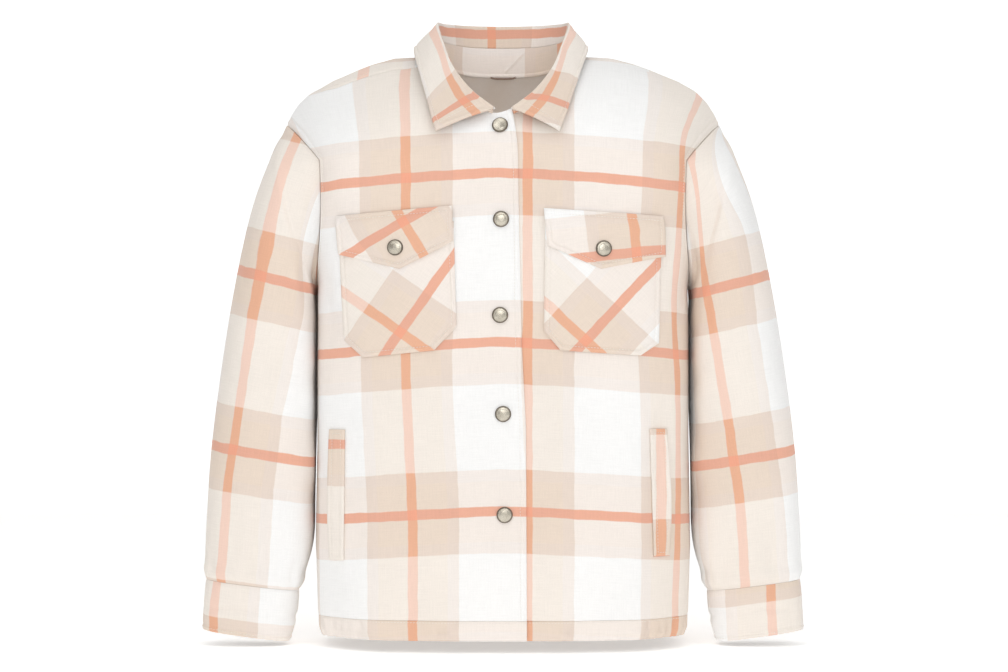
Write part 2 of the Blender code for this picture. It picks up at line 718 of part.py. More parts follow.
def flap_grid(pocket):
    rows = []
    for part in FLAP_ROWS:
        row = []
        for step in np.linspace(0.0, 1.0, PATCH_COLUMNS + 1):
            top = along(pocket["flap_top"], step)
            bottom = along(pocket["flap_bottom"], step)
            lift = PATCH_LIFT + (FLAP_LIFT - PATCH_LIFT) * smooth_step(part, 0.0, FLAP_LIFTED)
            row.append(on_front(*(top + (bottom - top) * part), lift))
        rows.append(row)
    return np.array(rows)


def lay_on(name, grid, wall, material, collection, right_side):
    """Thicken a patch outwards from the face that lies on the panel."""
    grid = mirrored(grid) if right_side else grid
    piece = lay_out(name, grid, wall, material, collection)
    piece.modifiers["wall"].offset = 1.0
    return piece


def make_pockets(cloth, collection):
    for name, pocket, right_side in (("right", POCKET_RIGHT, True), ("left", POCKET_LEFT, False)):
        bag = pocket_grid(pocket)[::-1]
        flap = flap_grid(pocket)[::-1]
        lay_on("chest_pocket_" + name, bag, POCKET_WALL, cloth, collection, right_side)
        lay_on("flap_" + name, flap, FLAP_WALL, cloth, collection, right_side)


def welt_grid(welt):
    rows = []
    for part in np.linspace(0.0, 1.0, WELT_ROWS):
        inner_x, outer_x, z = np.array(welt["top"]) * (1.0 - part) + np.array(welt["bottom"]) * part
        row = []
        for step in np.linspace(0.0, 1.0, WELT_COLUMNS):
            lift = PATCH_LIFT + welt["gape"] * step ** 2 * math.sin(math.pi * part)
            row.append(on_front(inner_x + (outer_x - inner_x) * step, z, lift))
        rows.append(row)
    return np.array(rows)


def make_welts(cloth, collection):
    lay_on("welt_right", welt_grid(WELT_RIGHT)[::-1], WELT_WALL, cloth, collection, True)
    lay_on("welt_left", welt_grid(WELT_LEFT)[::-1], WELT_WALL, cloth, collection, False)


def snap_cap(name, point, normal, metal, collection):
    """Domed cap turned from its profile, its flat underside on the cloth."""
    mesh = bpy.data.meshes.new(name)
    shape = bmesh.new()
    dome = SNAP_HEIGHT - SNAP_RIM
    profile = []
    for share in SNAP_PROFILE:
        profile.append((SNAP_RADIUS * share, SNAP_RIM + dome * math.sqrt(1.0 - share ** 2)))
    profile += [(SNAP_RADIUS, 0.0), (0.0, 0.0)]
    verts = [shape.verts.new((radius, 0.0, height)) for radius, height in profile]
    for start, end in zip(verts[:-1], verts[1:]):
        shape.edges.new((start, end))
    shape.to_mesh(mesh)
    shape.free()
    piece = bpy.data.objects.new(name, mesh)
    piece.data.materials.append(metal)
    collection.objects.link(piece)
    turn = piece.modifiers.new("turn", "SCREW")
    turn.steps = SNAP_STEPS
    turn.render_steps = SNAP_STEPS
    turn.use_merge_vertices = True
    turn.merge_threshold = 0.00001
    piece.location = Vector(point)
    piece.rotation_euler = Vector(normal).to_track_quat("Z", "Y").to_euler()
    return piece


def front_depth(grid, x, z):
    """Y of a front's outer face at a side distance and a height."""
    heights = []
    depths = []
    for row in grid:
        order = np.argsort(row[:, 0])
        heights.append(np.interp(x, row[order, 0], row[order, 2]))
        depths.append(np.interp(x, row[order, 0], row[order, 1]))
    return float(np.interp(z, heights, depths))


def snap_seat(grid, x, z):
    """Seat and direction of a cap that clears the cloth all round its rim."""
    reach = SNAP_RADIUS
    across = (front_depth(grid, x + reach, z) - front_depth(grid, x - reach, z)) / (2.0 * reach)
    upright = (front_depth(grid, x, z + reach) - front_depth(grid, x, z - reach)) / (2.0 * reach)
    lean = np.array([across, -1.0, upright])
    lean /= np.linalg.norm(lean)
    middle = np.array([x, front_depth(grid, x, z), z])
    turns = np.linspace(0.0, 2.0 * math.pi, 12, endpoint=False)
    rim = [(x + reach * math.cos(turn), z + reach * math.sin(turn)) for turn in turns]
    rise = 0.0
    for side, height in rim:
        offset = (side, front_depth(grid, side, height), height) - middle
        rise = max(rise, float(np.dot(lean, offset)))
    return middle + lean * (rise + SNAP_SEAT), lean


def make_snaps(metal, collection):
    lapped = mirrored(front_grid(SEAM_RIGHT, lap_edge, 0.0))
    for number, (x, z) in enumerate(FRONT_SNAPS, start=1):
        seat, lean = snap_seat(lapped, x, z)
        snap_cap("front_snap_%d" % number, seat, lean, metal, collection)
    for name, pocket, sign in (("right", POCKET_RIGHT, -1.0), ("left", POCKET_LEFT, 1.0)):
        x, z = pocket["snap"]
        turned = np.array([sign, 1.0, 1.0])
        seat = on_front(x, z, FLAP_LIFT + FLAP_WALL + SNAP_SEAT) * turned
        lean = seat - on_front(x, z, 0.0) * turned
        snap_cap("flap_snap_" + name, seat, lean, metal, collection)


def make_hanger_loop(tape, collection):
    """Short loop of tape under the back neck seam."""
    curve = bpy.data.curves.new("hanger_loop", "CURVE")
    curve.dimensions = "3D"
    curve.bevel_depth = LOOP_RADIUS
    curve.bevel_resolution = 2
    curve.use_fill_caps = True
    spline = curve.splines.new("POLY")
    shares = np.linspace(-1.0, 1.0, LOOP_POINTS)
    spline.points.add(len(shares) - 1)
    for point, share in zip(spline.points, shares):
        droop = LOOP_DROOP * (1.0 - share ** 4)
        point.co = (LOOP_HALF_SPAN * share, LOOP_Y - droop * LOOP_LEAN, LOOP_Z - droop, 1.0)
    piece = bpy.data.objects.new("hanger_loop", curve)
    piece.data.materials.append(tape)
    collection.objects.link(piece)


def main():
    clear_scene()
    collection = parts_collection()
    cloth = principled("plaid_flannel", (0.92, 0.85, 0.79), 0.9)
    trim = principled("plaid_trim", (0.84, 0.74, 0.64), 0.9)
    metal = principled("pewter_snap", (0.48, 0.44, 0.38), 0.35, 1.0)
    tape = principled("loop_tape", (0.35, 0.20, 0.13), 0.8)
    make_fronts(cloth, collection)
    make_back(cloth, collection)
    make_hem_bands(trim, collection)
    make_sleeves(cloth, collection)
    make_cuffs(trim, collection)
    make_collar_stand(trim, collection)
    make_collar_fall(cloth, collection)
    make_pockets(trim, collection)
    make_welts(trim, collection)
    make_snaps(metal, collection)
    make_hanger_loop(tape, collection)


main()
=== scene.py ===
"""Looks of the plaid shacket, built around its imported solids."""
import math

import bmesh
import bpy
import numpy as np
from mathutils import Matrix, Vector


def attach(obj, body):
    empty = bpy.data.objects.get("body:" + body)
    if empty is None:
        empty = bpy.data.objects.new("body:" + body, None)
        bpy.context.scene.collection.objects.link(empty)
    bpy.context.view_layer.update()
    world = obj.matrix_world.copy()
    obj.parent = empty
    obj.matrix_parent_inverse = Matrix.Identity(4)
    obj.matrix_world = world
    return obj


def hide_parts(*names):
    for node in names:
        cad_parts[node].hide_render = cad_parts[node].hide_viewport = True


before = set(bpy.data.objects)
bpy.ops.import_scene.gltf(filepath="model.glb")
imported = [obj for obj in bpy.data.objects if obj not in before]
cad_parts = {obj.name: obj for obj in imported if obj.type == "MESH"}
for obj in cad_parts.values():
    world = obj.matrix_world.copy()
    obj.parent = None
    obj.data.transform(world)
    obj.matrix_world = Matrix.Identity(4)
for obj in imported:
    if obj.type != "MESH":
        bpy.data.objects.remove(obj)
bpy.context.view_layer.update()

# Camera and studio
CAMERA_DISTANCE = 3.0
CAMERA_X = 0.0011
CAMERA_Z = -0.3260
VIEW_WIDTH = 1.1890
FLOOR_Z = -0.6870
WORLD_LIGHT = 0.43
NECK_POWER = 0.12
PAPER_GLOW = 0.385
WALL_GLOW = 0.52
PAPER_REACH = 6.0
WALL_Y = 5.7
WALL_BEND_Y = 4.3
WALL_BEND = 1.4
WALL_TOP = 5.0
# Soft lamps: name, place, width, power
LAMPS = (
    ("key", (-1.5, -2.0, 1.6), 1.8, 12.5),
    ("fill", (1.9, -2.1, 1.3), 2.0, 14.0),
    ("front", (0.0, -3.4, 0.5), 1.4, 14.0),
    ("top", (0.0, -0.9, 2.4), 2.2, 16.5),
)

# Cloth, in metres
PANEL_WALL = 0.0020
BAND_WALL = 0.0028
COLLAR_WALL = 0.0024
SEAM_GAP = 0.0001
NECK_GAP = 0.0006
SHOULDER_GAP = 0.0003
PARED_SHARE = 0.4
LAP_CLEARANCE = 0.0009
PATCH_LIFT = 0.0008

# Levels of the body, measured from the high points of the shoulders
HEM_Z = -0.6735
HEM_SEAM_Z = -0.6500
UNDERARM_Z = -0.2700
ARMHOLE_TURN_Z = -0.1400
CHEST_Z = -0.1250
ARMHOLE_REACH = 0.0790
ARMHOLE_SLOPE = math.radians(8)
ARMHOLE_SQUARENESS = 2.2
ARMHOLE_RAMP = 0.0060
QUARTER_LENGTH = 0.2800
FRONT_LENGTH = 0.2900

# Body outline at each level: height, half width, depth from middle to front or back, squareness
BODY_SECTIONS = (
    (-0.6735, 0.2150, 0.1120, 2.9),
    (-0.6500, 0.2165, 0.1130, 2.9),
    (-0.5700, 0.2195, 0.1160, 3.0),
    (-0.4500, 0.2175, 0.1180, 3.1),
    (-0.2700, 0.2165, 0.1180, 3.8),
    (-0.1250, 0.2165, 0.1170, 5.2),
)

# Free edge of the lapped front, on the other side of the middle: height, reach
LAP_EDGE = (
    (-0.6735, 0.0272),
    (-0.4300, 0.0261),
    (-0.3400, 0.0215),
    (-0.2000, 0.0181),
    (-0.0900, 0.0165),
    (-0.0760, 0.0145),
    (-0.0655, 0.0100),
)
UNDER_LAP = 0.0180
LAP_NECK_END = (-0.0100, -0.1015, -0.0660)
UNDER_NECK_END = (-0.0170, -0.0985, -0.0740)
LAP_STEP = 0.0300
LAP_SOFTENING = 0.0300

# Top line of the shoulder: distance from the middle, height
SHOULDER_LINE = (
    (0.0780, 0.0040),
    (0.1060, 0.0040),
    (0.1270, 0.0030),
    (0.1560, -0.0040),
    (0.1750, -0.0105),
    (0.2065, -0.0230),
    (0.2280, -0.0365),
    (0.2410, -0.0505),
    (0.2510, -0.0670),
    (0.2550, -0.0780),
)
SHOULDER_POINT = (0.2550, -0.0020, -0.0780)
SHOULDER_BULGE = 0.0050
COLLAR_CLEAR_X = 0.084
BULGE_START = 0.75
SEAM_FADE_X = 0.1900
SEAM_BLEND = 0.0400
NECK_SLOPE = math.radians(68)
EDGE_PULL = 0.9
CHEST_FULLNESS = 1.1
ARMHOLE_FULLNESS = 0.3
NAPE_TURN = math.radians(52)
LEVEL_TURN = math.radians(90)
POINT_TURN = math.radians(100)

# Shoulder seam of each side: how far it lies in front of the top line, how far below, its slope
SEAM_RIGHT = {"forward": 0.0280, "drop": 0.0175, "slope": math.radians(34), "neck_end": LAP_NECK_END}
SEAM_LEFT = {"forward": 0.0130, "drop": 0.0060, "slope": math.radians(18), "neck_end": UNDER_NECK_END}

# Collar stations from the middle of the back to the front end. Each row holds a point of the
# neck seam, of the seam between stand and fall, of the fold line and of the fall's free edge.
COLLAR_STATIONS = (
    ((0, 0.062, -0.0117), (0, 0.064, 0.0203), (0, 0.068, 0.0476), (0, 0.092, -0.01)),
    ((0.04, 0.055, -0.0105), (0.039, 0.057, 0.0205), (0.041, 0.06, 0.0475), (0.058, 0.082, -0.007)),
    ((0.068, 0.032, -0.005), (0.0655, 0.033, 0.0225), (0.068, 0.034, 0.0465), (0.096, 0.048, 0.0065)),
    ((0.08, 0, 0.003), (0.077, 0, 0.025), (0.0767, 0, 0.0427), (0.1058, -0.004, 0.011)),
    ((0.078, -0.03, -0.009), (0.0735, -0.03, 0.005), (0.0685, -0.032, 0.016), (0.0985, -0.06, -0.0165)),
    ((0.066, -0.06, -0.033), (0.061, -0.061, -0.023), (0.057, -0.063, -0.014), (0.088, -0.0975, -0.0525)),
    ((0.042, -0.084, -0.055), (0.039, -0.086, -0.049), (0.036, -0.089, -0.043), (0.0815, -0.114, -0.077)),
    (
        (0.0115, -0.1005, -0.071), (0.011, -0.1035, -0.0675), (0.0095, -0.107, -0.065),
        (0.0765, -0.1235, -0.0935),
    ),
)
LEFT_LEAF_NARROWER = (0.0, 0.0, 0.002, 0.005, 0.007, 0.009, 0.011, 0.0125)
FOLD_RADIUS = 0.0022
FALL_BULGE = 0.0050
FALL_ROWS = 40
RISING_ROWS = 15
TURN_ROWS = 9

# Sleeve rings below the armhole: outer edge x and z, inner edge x and z, half depth, middle y
SLEEVE_RINGS = (
    (0.2635, -0.0960, 0.2190, -0.2712, 0.0840, 0.0000),
    (0.2755, -0.1230, 0.2196, -0.2755, 0.0860, -0.0010),
    (0.2920, -0.1680, 0.2200, -0.2880, 0.0860, -0.0020),
    (0.3060, -0.2240, 0.2183, -0.3180, 0.0820, -0.0040),
    (0.3220, -0.3090, 0.2177, -0.3750, 0.0750, -0.0070),
    (0.3345, -0.3940, 0.2179, -0.4400, 0.0660, -0.0100),
    (0.3430, -0.4700, 0.2190, -0.5030, 0.0560, -0.0130),
    (0.3475, -0.5450, 0.2225, -0.5650, 0.0460, -0.0160),
    (0.3490, -0.5900, 0.2330, -0.6050, 0.0370, -0.0180),
    (0.3478, -0.6098, 0.2395, -0.6228, 0.0310, -0.0180),
)
CUFF_RINGS = (
    (0.3481, -0.6100, 0.2392, -0.6230, 0.0314, -0.0180),
    (0.3505, -0.6400, 0.2440, -0.6535, 0.0310, -0.0185),
    (0.3520, -0.6685, 0.2496, -0.6824, 0.0290, -0.0190),
)
SLEEVE_SQUARENESS = 2.35
INNER_SQUARENESS = 3.0
SLEEVE_COLUMNS = 132
CUFF_LENGTH = 0.0600

# Soft troughs of the sleeve: ring position, place round the ring in turns, reach in rings, reach in
# turns, lean in turns per ring, depth
SLEEVE_FOLDS = (
    (1.8, 0.33, 1.5, 0.050, 0.030, 0.0060),
    (3.0, 0.72, 1.2, 0.060, -0.030, 0.0045),
    (5.6, 0.40, 0.7, 0.120, 0.060, 0.0045),
    (6.6, 0.62, 0.6, 0.110, -0.050, 0.0040),
    (8.4, 0.30, 0.8, 0.035, 0.010, 0.0035),
    (8.6, 0.18, 0.8, 0.035, -0.010, 0.0030),
    (8.5, 0.70, 0.8, 0.035, 0.000, 0.0035),
)

# Flutes of the body above the hem seam: place along a quarter in fractions, width in fractions, depth
HEM_FLUTES = (
    (0.42, 0.050, -0.0016),
    (0.58, 0.055, 0.0018),
    (0.74, 0.050, -0.0024),
    (0.86, 0.045, 0.0022),
)
HEM_FLUTE_HEIGHT = 0.1100

# Chest pockets: corners as distance from the middle and height, then where two lines of the cloth
# cross, with -X on the wearer's right, and how far they are turned
POCKET_RIGHT = {
    "flap_top": ((0.0578, -0.1781), (0.1900, -0.1896)),
    "flap_bottom": ((0.0567, -0.2194), (0.1169, -0.2500), (0.1857, -0.2332)),
    "inner_edge": ((0.0560, -0.1960), (0.0527, -0.3158), (0.0782, -0.3424)),
    "outer_edge": ((0.1870, -0.2080), (0.1808, -0.3306), (0.1589, -0.3505)),
    "snap": (0.1215, -0.2257),
    "bag_crossing": ((-0.1160, -0.3215), math.radians(-35)),
    "flap_crossing": ((-0.1125, -0.1965), math.radians(31)),
}
POCKET_LEFT = {
    "flap_top": ((0.0465, -0.1809), (0.1826, -0.1897)),
    "flap_bottom": ((0.0510, -0.2234), (0.1107, -0.2500), (0.1832, -0.2355)),
    "inner_edge": ((0.0480, -0.1980), (0.0465, -0.3203), (0.0652, -0.3424)),
    "outer_edge": ((0.1800, -0.2080), (0.1772, -0.3340), (0.1560, -0.3482)),
    "snap": (0.1135, -0.2270),
    "bag_crossing": ((0.0935, -0.3310), math.radians(-43)),
    "flap_crossing": ((0.1500, -0.2310), math.radians(6)),
}
POCKET_WALL = 0.0020
FLAP_WALL = 0.0026
FLAP_LIFT = 0.0034
FLAP_LIFTED = 0.28

# Side welts: inner and outer edge at the top, the same at the bottom, mouth lift
WELT_RIGHT = {"top": (0.1800, 0.1985, -0.4330), "bottom": (0.1815, 0.1990, -0.5830), "gape": 0.0028}
WELT_LEFT = {"top": (0.1665, 0.1870, -0.4320), "bottom": (0.1715, 0.1900, -0.5780), "gape": 0.0060}
WELT_WALL = 0.0024

# Snap caps: distance from the middle, towards the wearer's left, and height
FRONT_SNAPS = (
    (-0.0034, -0.0862),
    (-0.0023, -0.1934),
    (-0.0034, -0.3022),
    (0.0000, -0.4144),
    (0.0018, -0.5289),
)
SNAP_RADIUS = 0.0086
SNAP_STEPS = 48

# Loop of tape inside the back neck. Its dark brown is painted shade for the shadow line under the neck seam.
LOOP_HALF_SPAN = 0.0170
LOOP_Y = 0.0596
LOOP_Z = -0.0142
LOOP_DROOP = 0.0030
LOOP_LEAN = 0.6

# Colours
WHITE = (0.930, 0.930, 0.925, 1.0)
CREAM = (0.885, 0.822, 0.755, 1.0)
CREAM_WEFT = (0.893, 0.822, 0.765, 1.0)
BEIGE = (0.805, 0.685, 0.582, 1.0)
ROSE_LIGHT = (0.880, 0.830, 0.800, 1.0)
ROSE = (0.790, 0.680, 0.610, 1.0)
PEACH_PALE = (0.890, 0.655, 0.555, 1.0)
PEACH = (0.815, 0.455, 0.305, 1.0)
PEACH_ON_WHITE = (0.835, 0.445, 0.325, 1.0)
PEACH_ON_CREAM = (0.795, 0.425, 0.314, 1.0)
PEACH_CROSSING = (0.862, 0.395, 0.268, 1.0)
WRONG_SIDE = (0.890, 0.820, 0.755, 1.0)
WRONG_SIDE_DEEP = (0.840, 0.740, 0.650, 1.0)
PEWTER_LIGHT = (0.590, 0.550, 0.465, 1.0)
PEWTER_DEEP = (0.370, 0.330, 0.265, 1.0)
# Painted shade: dark metal for the snap rims, and for a thin ring round each cap that paints the shadow in
# the gap
SHADE_RING_LIGHT = (0.215, 0.185, 0.150, 1.0)
SHADE_RING_DEEP = (0.120, 0.100, 0.080, 1.0)
THREAD_LIGHT = (0.900, 0.870, 0.820, 1.0)
THREAD_DEEP = (0.780, 0.730, 0.660, 1.0)
# Neck tape: a real loop, coloured dark brown as painted shade for the shadow line under the back neck seam
TAPE_SHADE_LIGHT = (0.300, 0.210, 0.160, 1.0)
TAPE_SHADE_DEEP = (0.170, 0.110, 0.080, 1.0)
PAPER = (0.930, 0.930, 0.925, 1.0)
PAPER_DEEP = (0.915, 0.915, 0.910, 1.0)

# Weave and stitches, in metres
YARN_PITCH = 0.0011
STITCH_LENGTH = 0.0026
STITCH_RADIUS = 0.00024
STITCH_PITCH = 0.0036
STITCH_LIFT = 0.00012

# Spacing of rows and columns, in metres
FINE = 0.0032
UPPER_SPACING = 0.0036
PATCH_SPACING = 0.0024
BAND_SPACING = 0.0022
BACK_SPACING = 0.0038
EDGE_STEPS = (0.0007, 0.0016, 0.0030, 0.0046, 0.0056, 0.0065, 0.0074, 0.0085, 0.0110)
NEAR_UNDERARM = (0.0, 0.0012, 0.0024, 0.0036, 0.0048, 0.0060, 0.0078, 0.0100)
CLEAR_OF_UNDERARM = 0.0008
UPPER_FRONT_LENGTH = 0.115
UPPER_BACK_LENGTH = 0.190

# Distance of the stitching from an edge, and the dips of the cloth at seams and stitches
STITCH_IN = 0.0065
ARM_STITCH_IN = 0.0085
WELT_STITCH_IN = 0.0045
PATH_STEP = 0.0015
SEAM_DIP = 0.0007
SEAM_DIP_WIDTH = 0.0022
STITCH_DIP = 0.0005
STITCH_DIP_WIDTH = 0.0011
# Share of a panel's upper edge that lies along the neck
NECK_SHARE = 7.0 / 15.0

# Plaid, in metres: repeats, half widths of the dark band and of the line, width of the rosy strip,
# how far the lines wander and how soft their edges are, then the shift of each panel's cloth
WARP_REPEAT = 0.1840
WEFT_REPEAT = 0.1920
DARK_HALF_WARP = 0.0530
DARK_HALF_WEFT = 0.0475
LINE_HALF = 0.0056
STRIP_WIDTH = 0.0130
WANDER = 0.0034
BAND_SOFTNESS = 0.0007
LINE_SOFTNESS = 0.0006
RIGHT_WARP = 0.1103
LEFT_WARP = 0.0279
BACK_WARP = -0.1540
WEFT_LINE = -0.3328
HEM_WEFT = WEFT_LINE - WEFT_REPEAT * 2.0 + 0.0890
GRAIN_LEAN = 0.0075
# Shift of the cloth of each side welt, across and up
WELT_CLOTH = {"right": (0.0190, 0.4500), "left": (-0.0122, 0.5830)}

# Creases of the fronts: from x, z to x, z, width, height out of the cloth
FRONT_CREASES = (
    (0.205, -0.172, 0.150, -0.222, 0.010, -0.0020),
    (0.210, -0.212, 0.172, -0.300, 0.012, 0.0018),
    (0.211, -0.240, 0.196, -0.350, 0.009, -0.0022),
    (0.200, -0.335, 0.197, -0.560, 0.012, 0.0022),
    (0.182, -0.385, 0.168, -0.600, 0.012, -0.0018),
    (0.150, -0.400, 0.153, -0.620, 0.018, 0.0016),
    (0.118, -0.420, 0.110, -0.560, 0.016, -0.0010),
    (0.085, -0.380, 0.080, -0.610, 0.022, 0.0012),
    (0.046, -0.370, 0.052, -0.560, 0.016, -0.0010),
    (0.062, -0.118, 0.122, -0.160, 0.014, -0.0012),
    (0.150, -0.105, 0.192, -0.150, 0.012, 0.0014),
    (0.036, -0.150, 0.032, -0.330, 0.012, -0.0008),
)
# Creases of the back, across its whole width
BACK_CREASES = (
    (0.195, -0.190, 0.120, -0.290, 0.014, -0.0026),
    (0.205, -0.230, 0.155, -0.350, 0.013, 0.0022),
    (0.190, -0.330, 0.182, -0.590, 0.015, -0.0022),
    (0.120, -0.150, 0.128, -0.470, 0.024, 0.0026),
    (0.070, -0.260, 0.082, -0.620, 0.020, -0.0022),
    (0.010, -0.140, 0.004, -0.520, 0.028, 0.0024),
    (-0.048, -0.300, -0.060, -0.620, 0.020, -0.0020),
    (-0.110, -0.170, -0.118, -0.560, 0.026, 0.0026),
    (-0.165, -0.340, -0.176, -0.600, 0.015, -0.0022),
    (-0.205, -0.225, -0.150, -0.330, 0.013, 0.0022),
    (-0.192, -0.185, -0.118, -0.270, 0.014, -0.0024),
)
# Finer creases of the sleeves, in the same columns as the soft troughs, and where they fade out
CREASE_END = (9.6, 10.0)
SLEEVE_CREASES = (
    (1.2, 0.24, 1.0, 0.030, 0.045, 0.0030),
    (0.6, 0.375, 0.7, 0.030, 0.050, 0.0090),
    (5.0, 0.400, 2.4, 0.050, 0.000, -0.0055),
    (2.4, 0.40, 0.9, 0.035, 0.050, -0.0026),
    (3.4, 0.30, 1.0, 0.030, 0.030, 0.0018),
    (4.3, 0.44, 0.5, 0.070, 0.080, 0.0028),
    (5.0, 0.42, 0.35, 0.080, 0.070, 0.0030),
    (6.1, 0.38, 0.4, 0.070, -0.060, 0.0026),
    (7.2, 0.44, 0.35, 0.060, 0.050, 0.0022),
    (7.8, 0.20, 0.6, 0.030, 0.030, 0.0016),
    (8.9, 0.22, 0.7, 0.022, 0.000, 0.0022),
    (9.0, 0.36, 0.6, 0.022, 0.010, 0.0024),
    (9.1, 0.46, 0.6, 0.020, 0.000, 0.0022),
    (9.0, 0.08, 0.6, 0.022, 0.000, 0.0020),
    (8.9, 0.60, 0.7, 0.025, 0.000, 0.0024),
    (9.1, 0.82, 0.6, 0.025, 0.000, 0.0022),
    (3.0, 0.92, 1.4, 0.040, 0.020, 0.0022),
    (5.2, 0.86, 0.6, 0.090, 0.050, 0.0026),
    (1.6, 0.80, 1.1, 0.035, -0.040, 0.0026),
)
# Small gathers of the hem bands: place along a quarter in fractions, lean, depth
GATHER_GAIN = 3.0
HEM_GATHERS = (
    (0.30, 0.004, 0.0007),
    (0.335, -0.003, 0.0008),
    (0.61, 0.004, 0.0009),
    (0.64, -0.004, 0.0010),
    (0.675, 0.003, 0.0008),
    (0.72, 0.004, 0.0010),
    (0.77, -0.003, 0.0009),
    (0.83, 0.004, 0.0010),
    (0.88, -0.004, 0.0009),
    (0.93, 0.003, 0.0010),
)

# Lengthwise line of each sleeve: height, distance from the middle
SLEEVE_LINE_RIGHT = (
    (-0.0934, 0.2400), (-0.1605, 0.2592), (-0.2126, 0.2692), (-0.2948, 0.2864),
    (-0.4118, 0.3046), (-0.4984, 0.3185), (-0.6033, 0.3275), (-0.6600, 0.3310),
)
SLEEVE_LINE_LEFT = (
    (-0.0900, 0.2150), (-0.1455, 0.2210), (-0.2531, 0.2302), (-0.3098, 0.2395),
    (-0.4374, 0.2615), (-0.5206, 0.2735), (-0.6184, 0.2812), (-0.6700, 0.2850),
)
CUFF_LINE_RIGHT = ((-0.6100, 0.3330), (-0.6700, 0.3370))
CUFF_LINE_LEFT = ((-0.6100, 0.3100), (-0.6700, 0.3130))
# Share of the cloth's width that shows across the front of each sleeve: height, share
SLEEVE_EASE = {
    "right": ((-0.114, 0.45), (-0.190, 0.42), (-0.224, 0.45), (-0.266, 0.63), (-0.304, 0.72), (-0.336, 0.82),
              (-0.421, 1.0), (-0.500, 0.95)),
    "left": ((-0.132, 0.50), (-0.194, 0.58), (-0.314, 0.92), (-0.400, 1.0)),
}
SLEEVE_WEFT = {"right": -0.2485, "left": -0.2540}
SLEEVE_WEFT_SCALE = 0.942
# How far the crosswise lines of a sleeve and of a cuff climb inwards: height, slope
SLEEVE_SLOPE = ((-0.62, 0.12), (-0.46, 0.165), (-0.26, 0.25))
CUFF_SLOPE = ((-0.70, 0.13), (-0.60, 0.13))
CUFF_DARK_EDGE = {"right": -0.6500, "left": -0.6290}


def read_table(table, index, at):
    """Value of one column of a short table whose first column is its key."""
    rows = sorted(table)
    return np.interp(at, [row[0] for row in rows], [row[index] for row in rows])


def smooth_step(value, low, high):
    """0 below low, 1 above high and a soft rise between them."""
    part = np.clip((value - low) / (high - low), 0.0, 1.0)
    return part * part * (3.0 - 2.0 * part)


def through_rows(rows, places):
    """Smooth curve through the rows of a table, read at row positions such as 2.5."""
    rows = np.asarray(rows, dtype=float)
    last = len(rows) - 1
    places = np.clip(np.asarray(places, dtype=float), 0.0, last)
    index = np.minimum(places.astype(int), last - 1)
    part = (places - index).reshape((-1,) + (1,) * (rows.ndim - 1))
    before = rows[np.maximum(index - 1, 0)]
    start = rows[index]
    end = rows[index + 1]
    after = rows[np.minimum(index + 2, last)]
    linear = (end - before) * part
    square = (2.0 * before - 5.0 * start + 4.0 * end - after) * part ** 2
    cube = (3.0 * start - before - 3.0 * end + after) * part ** 3
    return 0.5 * (2.0 * start + linear + square + cube)


def summed(steps, axis=0):
    """Running total of steps along an axis, from 0."""
    return np.concatenate([np.zeros_like(steps.take([0], axis)), np.cumsum(steps, axis=axis)], axis=axis)


def run_of(points):
    """Distance along a line of points."""
    return summed(np.linalg.norm(np.diff(points, axis=0), axis=1))


def columns_at(values, run, spots):
    """Rows of values read at distances along their run."""
    return np.stack([np.interp(spots, run, each) for each in values.T], axis=1)


def at_fractions(points, fractions):
    """Points at fractions of the length of a dense line of points."""
    length = run_of(points[:, :3])
    return columns_at(points, length, np.asarray(fractions) * length[-1])


def body_section(z):
    """Half width, depth and squareness of the body's outline at a height."""
    return tuple(float(read_table(BODY_SECTIONS, index, z)) for index in (1, 2, 3))


def body_depth(x, z):
    """Distance of the body's outline from the middle plane at a side distance and a height."""
    half_width, depth, squareness = body_section(z)
    return depth * max(0.0, 1.0 - abs(x / half_width) ** squareness) ** (1.0 / squareness)


def hem_flute(fraction, z):
    """Height of the soft waves above the hem seam."""
    fade = 1.0 - smooth_step(z, HEM_SEAM_Z, HEM_SEAM_Z + HEM_FLUTE_HEIGHT)
    waves = sum(depth * np.exp(-((fraction - place) / width) ** 2) for place, width, depth in HEM_FLUTES)
    return waves * fade


def body_row(z, start_x, end_depth, fractions):
    """Points along a quarter of the body's outline, from the middle out to the side.

    They lie on the +X side and in front, and start_x may be negative for a lap.
    """
    half_width, depth, squareness = body_section(z)
    start = math.atan2(start_x, body_depth(start_x, z))
    end_x = half_width * (1.0 - (end_depth / depth) ** squareness) ** (1.0 / squareness)
    end = math.atan2(end_x, end_depth)
    angle = np.linspace(start, end, 80)
    across = (np.abs(np.sin(angle)) / half_width) ** squareness
    ahead = (np.abs(np.cos(angle)) / depth) ** squareness
    radius = (across + ahead) ** (-1.0 / squareness)
    line = np.stack([radius * np.sin(angle), -radius * np.cos(angle), np.full_like(angle, z)], axis=1)
    row = at_fractions(line, fractions)
    outward = np.stack([row[:, 0] / half_width ** 2, row[:, 1] / depth ** 2], axis=1)
    outward /= np.linalg.norm(outward, axis=1)[:, None]
    row[:, :2] += outward * hem_flute(np.asarray(fractions), z)[:, None]
    return row


def armhole_depth(z):
    """How far in front of the side the armhole's edge lies at a height."""
    if z <= UNDERARM_Z:
        return 0.0
    if z >= ARMHOLE_TURN_Z:
        return ARMHOLE_REACH
    start = UNDERARM_Z + ARMHOLE_RAMP
    part = (ARMHOLE_TURN_Z - max(z, start)) / (ARMHOLE_TURN_Z - UNDERARM_Z)
    reach = ARMHOLE_REACH * (1.0 - part ** ARMHOLE_SQUARENESS) ** (1.0 / ARMHOLE_SQUARENESS)
    return reach * min(1.0, (z - UNDERARM_Z) / ARMHOLE_RAMP)


def neck_line(side):
    """Dense half of the neck seam, from the middle of the back to just past the middle front.

    The fourth column is the collar station that each point belongs to.
    """
    rows = [row[0] for row in COLLAR_STATIONS] + [side["neck_end"]]
    places = np.linspace(0.0, len(rows) - 1, 240)
    return np.column_stack([through_rows(rows, places), places])


def shoulder_height(x):
    """Height of the top line at a distance from the middle."""
    return read_table(SHOULDER_LINE, 1, x)


